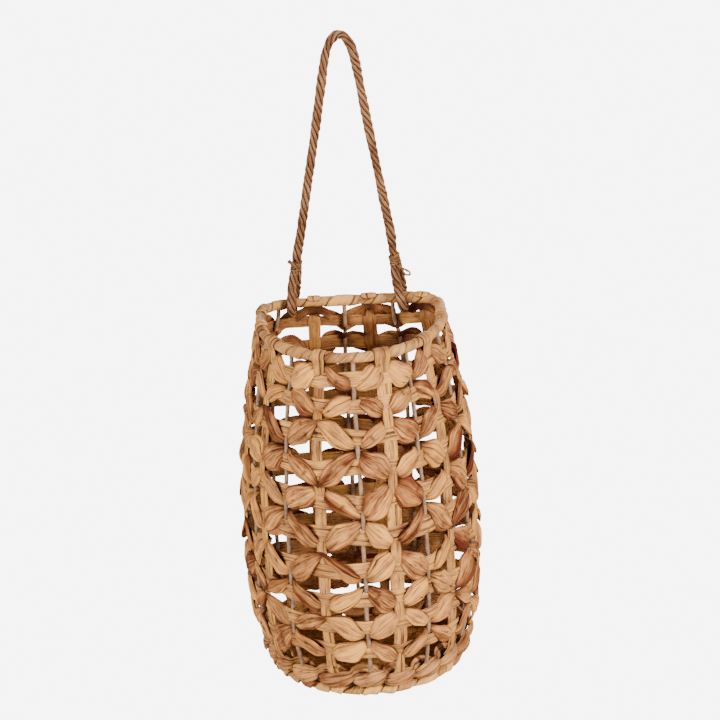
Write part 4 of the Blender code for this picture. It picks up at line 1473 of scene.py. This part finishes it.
# %% Floor wires
SPOKE_ROWS = 24
SPOKE_DRIFT = 0.1 * MM


def lay_spokes():
    """The long wire runs from front to back in the middle, and the other two across it."""
    for node in ("floor_spoke_long", "floor_spoke_left", "floor_spoke_right"):
        low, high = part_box(node)
        first = np.array((0.0, (low.y + high.y) / 2, BASE_RING_HEIGHT))
        last = first.copy()
        long_axis = 1 if node == "floor_spoke_long" else 0
        first[long_axis], last[long_axis] = low[long_axis], high[long_axis]
        path = np.linspace(first, last, SPOKE_ROWS)
        path[1:-1, 2] += rng.normal(0.0, SPOKE_DRIFT, SPOKE_ROWS - 2)
        facing = np.tile(UP, (SPOKE_ROWS, 1))
        spoke = tube(f"wire_{node}", path, facing, WIRE_RADIUS, WIRE_SIDES)
        dress(spoke, node, wire_finish)
    print("three floor wires")


lay_spokes()

# %% [markdown]
# ## Rope handle
#
# The handle is a laid rope of five strands, each of a few yarns. Its section is a ring of
# touching circles that turns left-handed as it goes along, so the strands rise to the left.
# The CAD cord is 8.4 mm thick, and the strands stand out a little over that. The free
# stretch is taut and drawn up to a point. Each end goes down round the back rim and up
# again as an eye, and twine binds the eye's two legs.

# %% Rope
ROPE_RADIUS = 4.2 * MM
ROPE_LAY = 46 * MM
ROPE_COLUMNS = 60
ROPE_STEP = 0.9 * MM
ROPE_UNEVEN_SHARE = 0.06
LAY_DRIFT = 0.22
STRAND_TINTS = np.array((0.42, 0.5, 0.58, 0.46, 0.54))
STRANDS = len(STRAND_TINTS)
STRANDS_STAND_OUT = 1.12
STRAND_SQUEEZE = 1.06
YARNS_ROUND = 15
YARN_DEPTH = 0.2 * MM
YARN_LAY_SHARE = 0.6
# Painted shade between the yarns and between the strands.
YARN_SHADE = 0.6
LAY_SHADE = 0.6
FIBRE_SLANT = 0.9


def laid_rings(path, facing, radius, start=0.0):
    """(rings, turn, groove) of a laid rope whose strands turn left-handed along the path; groove is
    where shade is painted between strands and yarns.
    """
    reach = np.broadcast_to(np.asarray(radius, float).reshape(-1, 1), (len(path), 1))
    reach = reach * STRANDS_STAND_OUT
    strand = STRAND_SQUEEZE * reach / (1 + 1 / math.sin(math.pi / STRANDS))
    reach = reach - strand
    turn = np.linspace(0.0, 2 * math.pi, ROPE_COLUMNS, endpoint=False)
    half = math.pi / STRANDS
    near = (turn + half) % (2 * half) - half
    out = reach * np.cos(near) + np.sqrt(np.maximum(strand**2 - (reach * np.sin(near)) ** 2, 0))
    slack = wander(len(path), max(9, len(path) // 12), LAY_DRIFT, False)
    lay = start - 2 * math.pi * lengths(path) / ROPE_LAY + slack
    angle = turn[None] + lay[:, None]
    yarn = np.cos(YARNS_ROUND * (turn[None] + YARN_LAY_SHARE * lay[:, None]))
    out = out + YARN_DEPTH * yarn
    rings = ribbon_rings(path, facing, out * np.cos(angle), out * np.sin(angle))
    between_strands = np.clip((np.abs(near) / half) ** 3, 0, 1)
    return rings, turn, np.maximum(between_strands, YARN_SHADE * np.clip(-yarn, 0, 1))


def rope_piece(name, path, facing, radius, start=0.0):
    rings, turn, groove = laid_rings(path, facing, radius, start)
    strand = np.floor(turn / (2 * math.pi) * STRANDS + 0.5).astype(int) % STRANDS
    pale = STRAND_TINTS[strand] + wander(len(path), 30, 0.06, False)[:, None]
    tone = toned(len(path), ROPE_COLUMNS, pale, 0.0, LAY_SHADE * groove)
    girth = turn * ROPE_RADIUS
    slant = lengths(path)[:, None] + FIBRE_SLANT * girth[None]
    return skin(name, rings, slant, girth[None], tone)


print("one turn of the lay every", round(1000 * ROPE_LAY), "mm")

# %% Curves of the rope
EYE_CENTRES = (
    np.array((-0.646 * RIM_SIZE[0], 0.0933, RIM_HEIGHT)),
    np.array((0.588 * RIM_SIZE[0], 0.0933, RIM_HEIGHT)),
)
EYE_HEIGHT = 33 * MM
EYE_LEAN = math.radians(8)
WHIPPING_HEIGHT = 11.5 * MM


def leaning(centre, point):
    """A place over an upright eye, moved to the eye that leans to the middle."""
    turn = -math.copysign(EYE_LEAN, centre[0])
    x, y, z = np.moveaxis(np.asarray(point, float), -1, 0)
    cos, sin = math.cos(turn), math.sin(turn)
    return centre + np.stack([x * cos + z * sin, y, z * cos - x * sin], -1)


def smooth_through(points, steps):
    """A curve through all the points, with so many steps from each to the next."""
    ends = np.concatenate([[2 * points[0] - points[1]], points, [2 * points[-1] - points[-2]]])
    made = []
    for i in range(1, len(ends) - 2):
        before, first, second, after = ends[i - 1 : i + 3]
        for t in np.arange(steps) / steps:
            straight = 2 * first + (second - before) * t
            bent = (2 * before - 5 * first + 4 * second - after) * t**2
            twisted = (3 * first - before - 3 * second + after) * t**3
            made.append((straight + bent + twisted) / 2)
    return np.array([*made, points[-1]])


def even_steps(path, step):
    run = lengths(path)
    at = np.linspace(0.0, run[-1], int(run[-1] / step) + 1)
    return np.stack([np.interp(at, run, path[:, i]) for i in range(3)], 1)


print("eyes", round(1000 * (EYE_CENTRES[1][0] - EYE_CENTRES[0][0]), 1), "mm apart")

# %% Route of the rope
# Half the distance between the rope's two sides, and the height over the rim, in metres.
ROPE_SIDE_RUNS = (
    (0.0452, 0.068),
    (0.0421, 0.086),
    (0.0388, 0.105),
    (0.0354, 0.125),
    (0.0317, 0.146),
    (0.0279, 0.168),
    (0.0244, 0.189),
    (0.0210, 0.210),
    (0.0180, 0.229),
    (0.0152, 0.246),
    (0.0117, 0.260),
    (0.0064, 0.2695),
)
FREE_START = EYE_HEIGHT + WHIPPING_HEIGHT + 0.6 * MM
ROPE_TOP = 0.2730
ROPE_TOP_SHIFT = 0.0023


def rope_route():
    """From one eye straight up for a rope's width, then over the top and down to the other."""
    left, right = EYE_CENTRES
    middle = (left + right) / 2
    ends = [
        [leaning(eye, (0.0, 0.0, FREE_START + run)) for run in (0.0, 2 * ROPE_RADIUS)]
        for eye in (left, right)
    ]

    def spot(across, rise):
        shift = (ROPE_TOP_SHIFT - middle[0]) * rise / ROPE_TOP
        return middle + np.array((shift + across, 0.0, rise))

    up = [spot(-across, rise) for across, rise in ROPE_SIDE_RUNS]
    down = [spot(across, rise) for across, rise in reversed(ROPE_SIDE_RUNS)]
    route = np.array([ends[0][1], *up, spot(0.0, ROPE_TOP), *down, ends[1][1]])
    return np.array([ends[0][0], *smooth_through(route, 2), ends[1][0]])


def make_free_rope(route):
    fine = even_steps(smooth_through(route, 6), ROPE_STEP)
    facing = np.tile((0.0, 1.0, 0.0), (len(fine), 1))
    uneven = 1 + wander(len(fine), len(fine) // 12, ROPE_UNEVEN_SHARE, False)
    rope = rope_piece("laid_rope", fine, facing, ROPE_RADIUS * uneven)
    dress(rope, "rope_loop", jute, "handle")
    return rope


free_route = rope_route()
free_rope = make_free_rope(free_route)
print("free rope", round(lengths(free_route)[-1], 4), "m long")

# %% Eyes of the rope
EYE_FOOT_TWIST = math.radians(8)
EYE_TWIST = math.radians(40)
EYE_GAP = 1.3 * MM
EYE_NECK = 3.3 * MM
EYE_CLOSED = 30 * MM
EYE_TOP = FREE_START - 0.5 * MM
EYE_SQUEEZED = 22 * MM
EYE_THIN_SHARE = 0.66
EYE_UNEVEN_SHARE = 0.03
EYE_STEPS = 26
EYE_LAY_START = 0.7


def eye_path(centre):
    """Down the front of the rim, under it and up behind, with the legs closing up.

    The foot lies nearly square to the rim, and the legs turn past each other above it.
    """
    bend = RIM_WRAP_RADIUS + EYE_GAP + ROPE_RADIUS
    rise = np.linspace(1.0, 0.0, EYE_STEPS)[:-1]
    across = bend + (EYE_NECK - bend) * ease(rise * EYE_TOP / EYE_CLOSED)
    twist = EYE_FOOT_TWIST + (EYE_TWIST - EYE_FOOT_TWIST) * ease(rise * 1.3)
    front = np.stack([-across * np.sin(twist), -across * np.cos(twist), EYE_TOP * rise], 1)
    turn = np.linspace(math.pi, 2 * math.pi, EYE_STEPS)
    sideways, inwards = math.sin(EYE_FOOT_TWIST), math.cos(EYE_FOOT_TWIST)
    under = np.stack([sideways * np.cos(turn), inwards * np.cos(turn), np.sin(turn)], 1) * bend
    back = front[::-1] * (-1, -1, 1)
    return leaning(centre, np.concatenate([front, under, back]))


def make_eye(side, centre):
    """An eye of rope that is pulled thin round the rim."""
    path = even_steps(smoothed(eye_path(centre), 2), ROPE_STEP)
    facing = np.tile((1.0, 0.0, 0.0), (len(path), 1))
    run = lengths(path)
    free = ease(np.minimum(run, run[-1] - run) / EYE_SQUEEZED)
    radius = ROPE_RADIUS * (EYE_THIN_SHARE + (1 - EYE_THIN_SHARE) * free)
    radius = radius * (1 + wander(len(path), 9, EYE_UNEVEN_SHARE, False))
    eye = rope_piece(f"rope_bight_{side}", path, facing, radius, EYE_LAY_START)
    dress(eye, f"rope_eye_{side}", jute, "handle")
    return eye


bights = [make_eye(side, centre) for side, centre in zip(("left", "right"), EYE_CENTRES)]
print("two eyes round the back rim")

# %% Twine
TWINE_RADIUS = 0.95 * MM
TWINE_SIDES = 9
TWINE_FACING = (0.31, 0.42, 0.85)


def twine_piece(name, path, radius):
    facing = np.tile(TWINE_FACING, (len(path), 1))
    pale = 0.5 + wander(len(path), max(4, len(path) // 6), 0.14, False)
    tone = toned(len(path), TWINE_SIDES, pale)
    return tube(name, path, facing, radius, TWINE_SIDES, tone)


print("twine", round(2000 * TWINE_RADIUS, 1), "mm thick")

# %% Whippings
WHIPPING_TURNS = 6
STEPS_IN_A_TURN = 30
WHIPPING_WAIST_SHARE = 0.10
WHIPPING_RIPPLE = 0.5 * MM
WHIPPING_DRIFT = 0.25 * MM
BOUND_RADIUS = 0.76 * ROPE_RADIUS + 0.6 * TWINE_RADIUS
LEFT_LIFT = 1.5 * MM
RIGHT_LIFT = 3.0 * MM
# The loose ends, from the whipping outwards, in millimetres from the eye's foot: the left
# one has a thick knotted end and two thin ones, the right one a loop and a straight end.
LEFT_TAILS = (
    (((0, -8, 41), (-3, -9, 43), (-6, -9.5, 45.5), (-8.5, -9, 47.5)), 1.7),
    (((-2, -8.5, 40), (-4, -10, 43), (-6.5, -10.5, 45), (-9, -9.5, 46)), 1.0),
    (((2, -8, 39), (3.5, -9.5, 41), (1.5, -10, 44), (-1, -9, 42.5), (1, -8.5, 39.5)), 1.0),
)
RIGHT_LOOP = ((3, -7, 34), (6, -8, 32), (9, -8, 31), (12, -8, 28), (12, -8, 25))
RIGHT_TAILS = (
    ((*RIGHT_LOOP, (8, -8, 26), (6, -7, 29)), 1.05),
    (((2, -7, 36), (5, -8, 34), (8, -8, 31.5), (10.5, -8, 29)), 1.0),
)


def wind_whipping(side, centre, tails, lift):
    """Turns of twine round an eye's two legs, oval because the legs lie side by side."""
    turn = np.linspace(0.0, 2 * math.pi * WHIPPING_TURNS, STEPS_IN_A_TURN * WHIPPING_TURNS)
    climb = turn / turn[-1]
    squeeze = 1 - WHIPPING_WAIST_SHARE * np.sin(math.pi * climb)
    x = BOUND_RADIUS * np.cos(turn) * squeeze
    y = (EYE_NECK + BOUND_RADIUS) * np.sin(turn) * squeeze
    cos, sin = math.cos(EYE_TWIST), math.sin(EYE_TWIST)
    height = EYE_HEIGHT + lift + TWINE_RADIUS + (WHIPPING_HEIGHT - 2 * TWINE_RADIUS) * climb
    height = height + WHIPPING_RIPPLE * np.sin(turn * 0.83)
    height = height + wander(len(turn), 12, WHIPPING_DRIFT, False)
    coil = leaning(centre, np.stack([x * cos + y * sin, y * cos - x * sin, height], 1))
    pieces = [twine_piece(f"twine_coil_{side}", coil, TWINE_RADIUS)]
    for i, (points, radius) in enumerate(tails):
        path = smooth_through(leaning(centre, np.array(points, float) * MM), 8)
        pieces.append(twine_piece(f"twine_tail_{side}_{i}", path, radius * MM))
    whipping = joined(f"twine_whipping_{side}", pieces)
    dress(whipping, f"whipping_{side}", twine, "handle")
    return whipping


whippings = [
    wind_whipping("left", EYE_CENTRES[0], LEFT_TAILS, LEFT_LIFT),
    wind_whipping("right", EYE_CENTRES[1], RIGHT_TAILS, RIGHT_LIFT),
]
print("whippings of", WHIPPING_TURNS, "turns of twine")

# %% The rope's facts
print("the rope carries", len(bights), "eyes and", len(whippings), "whippings")
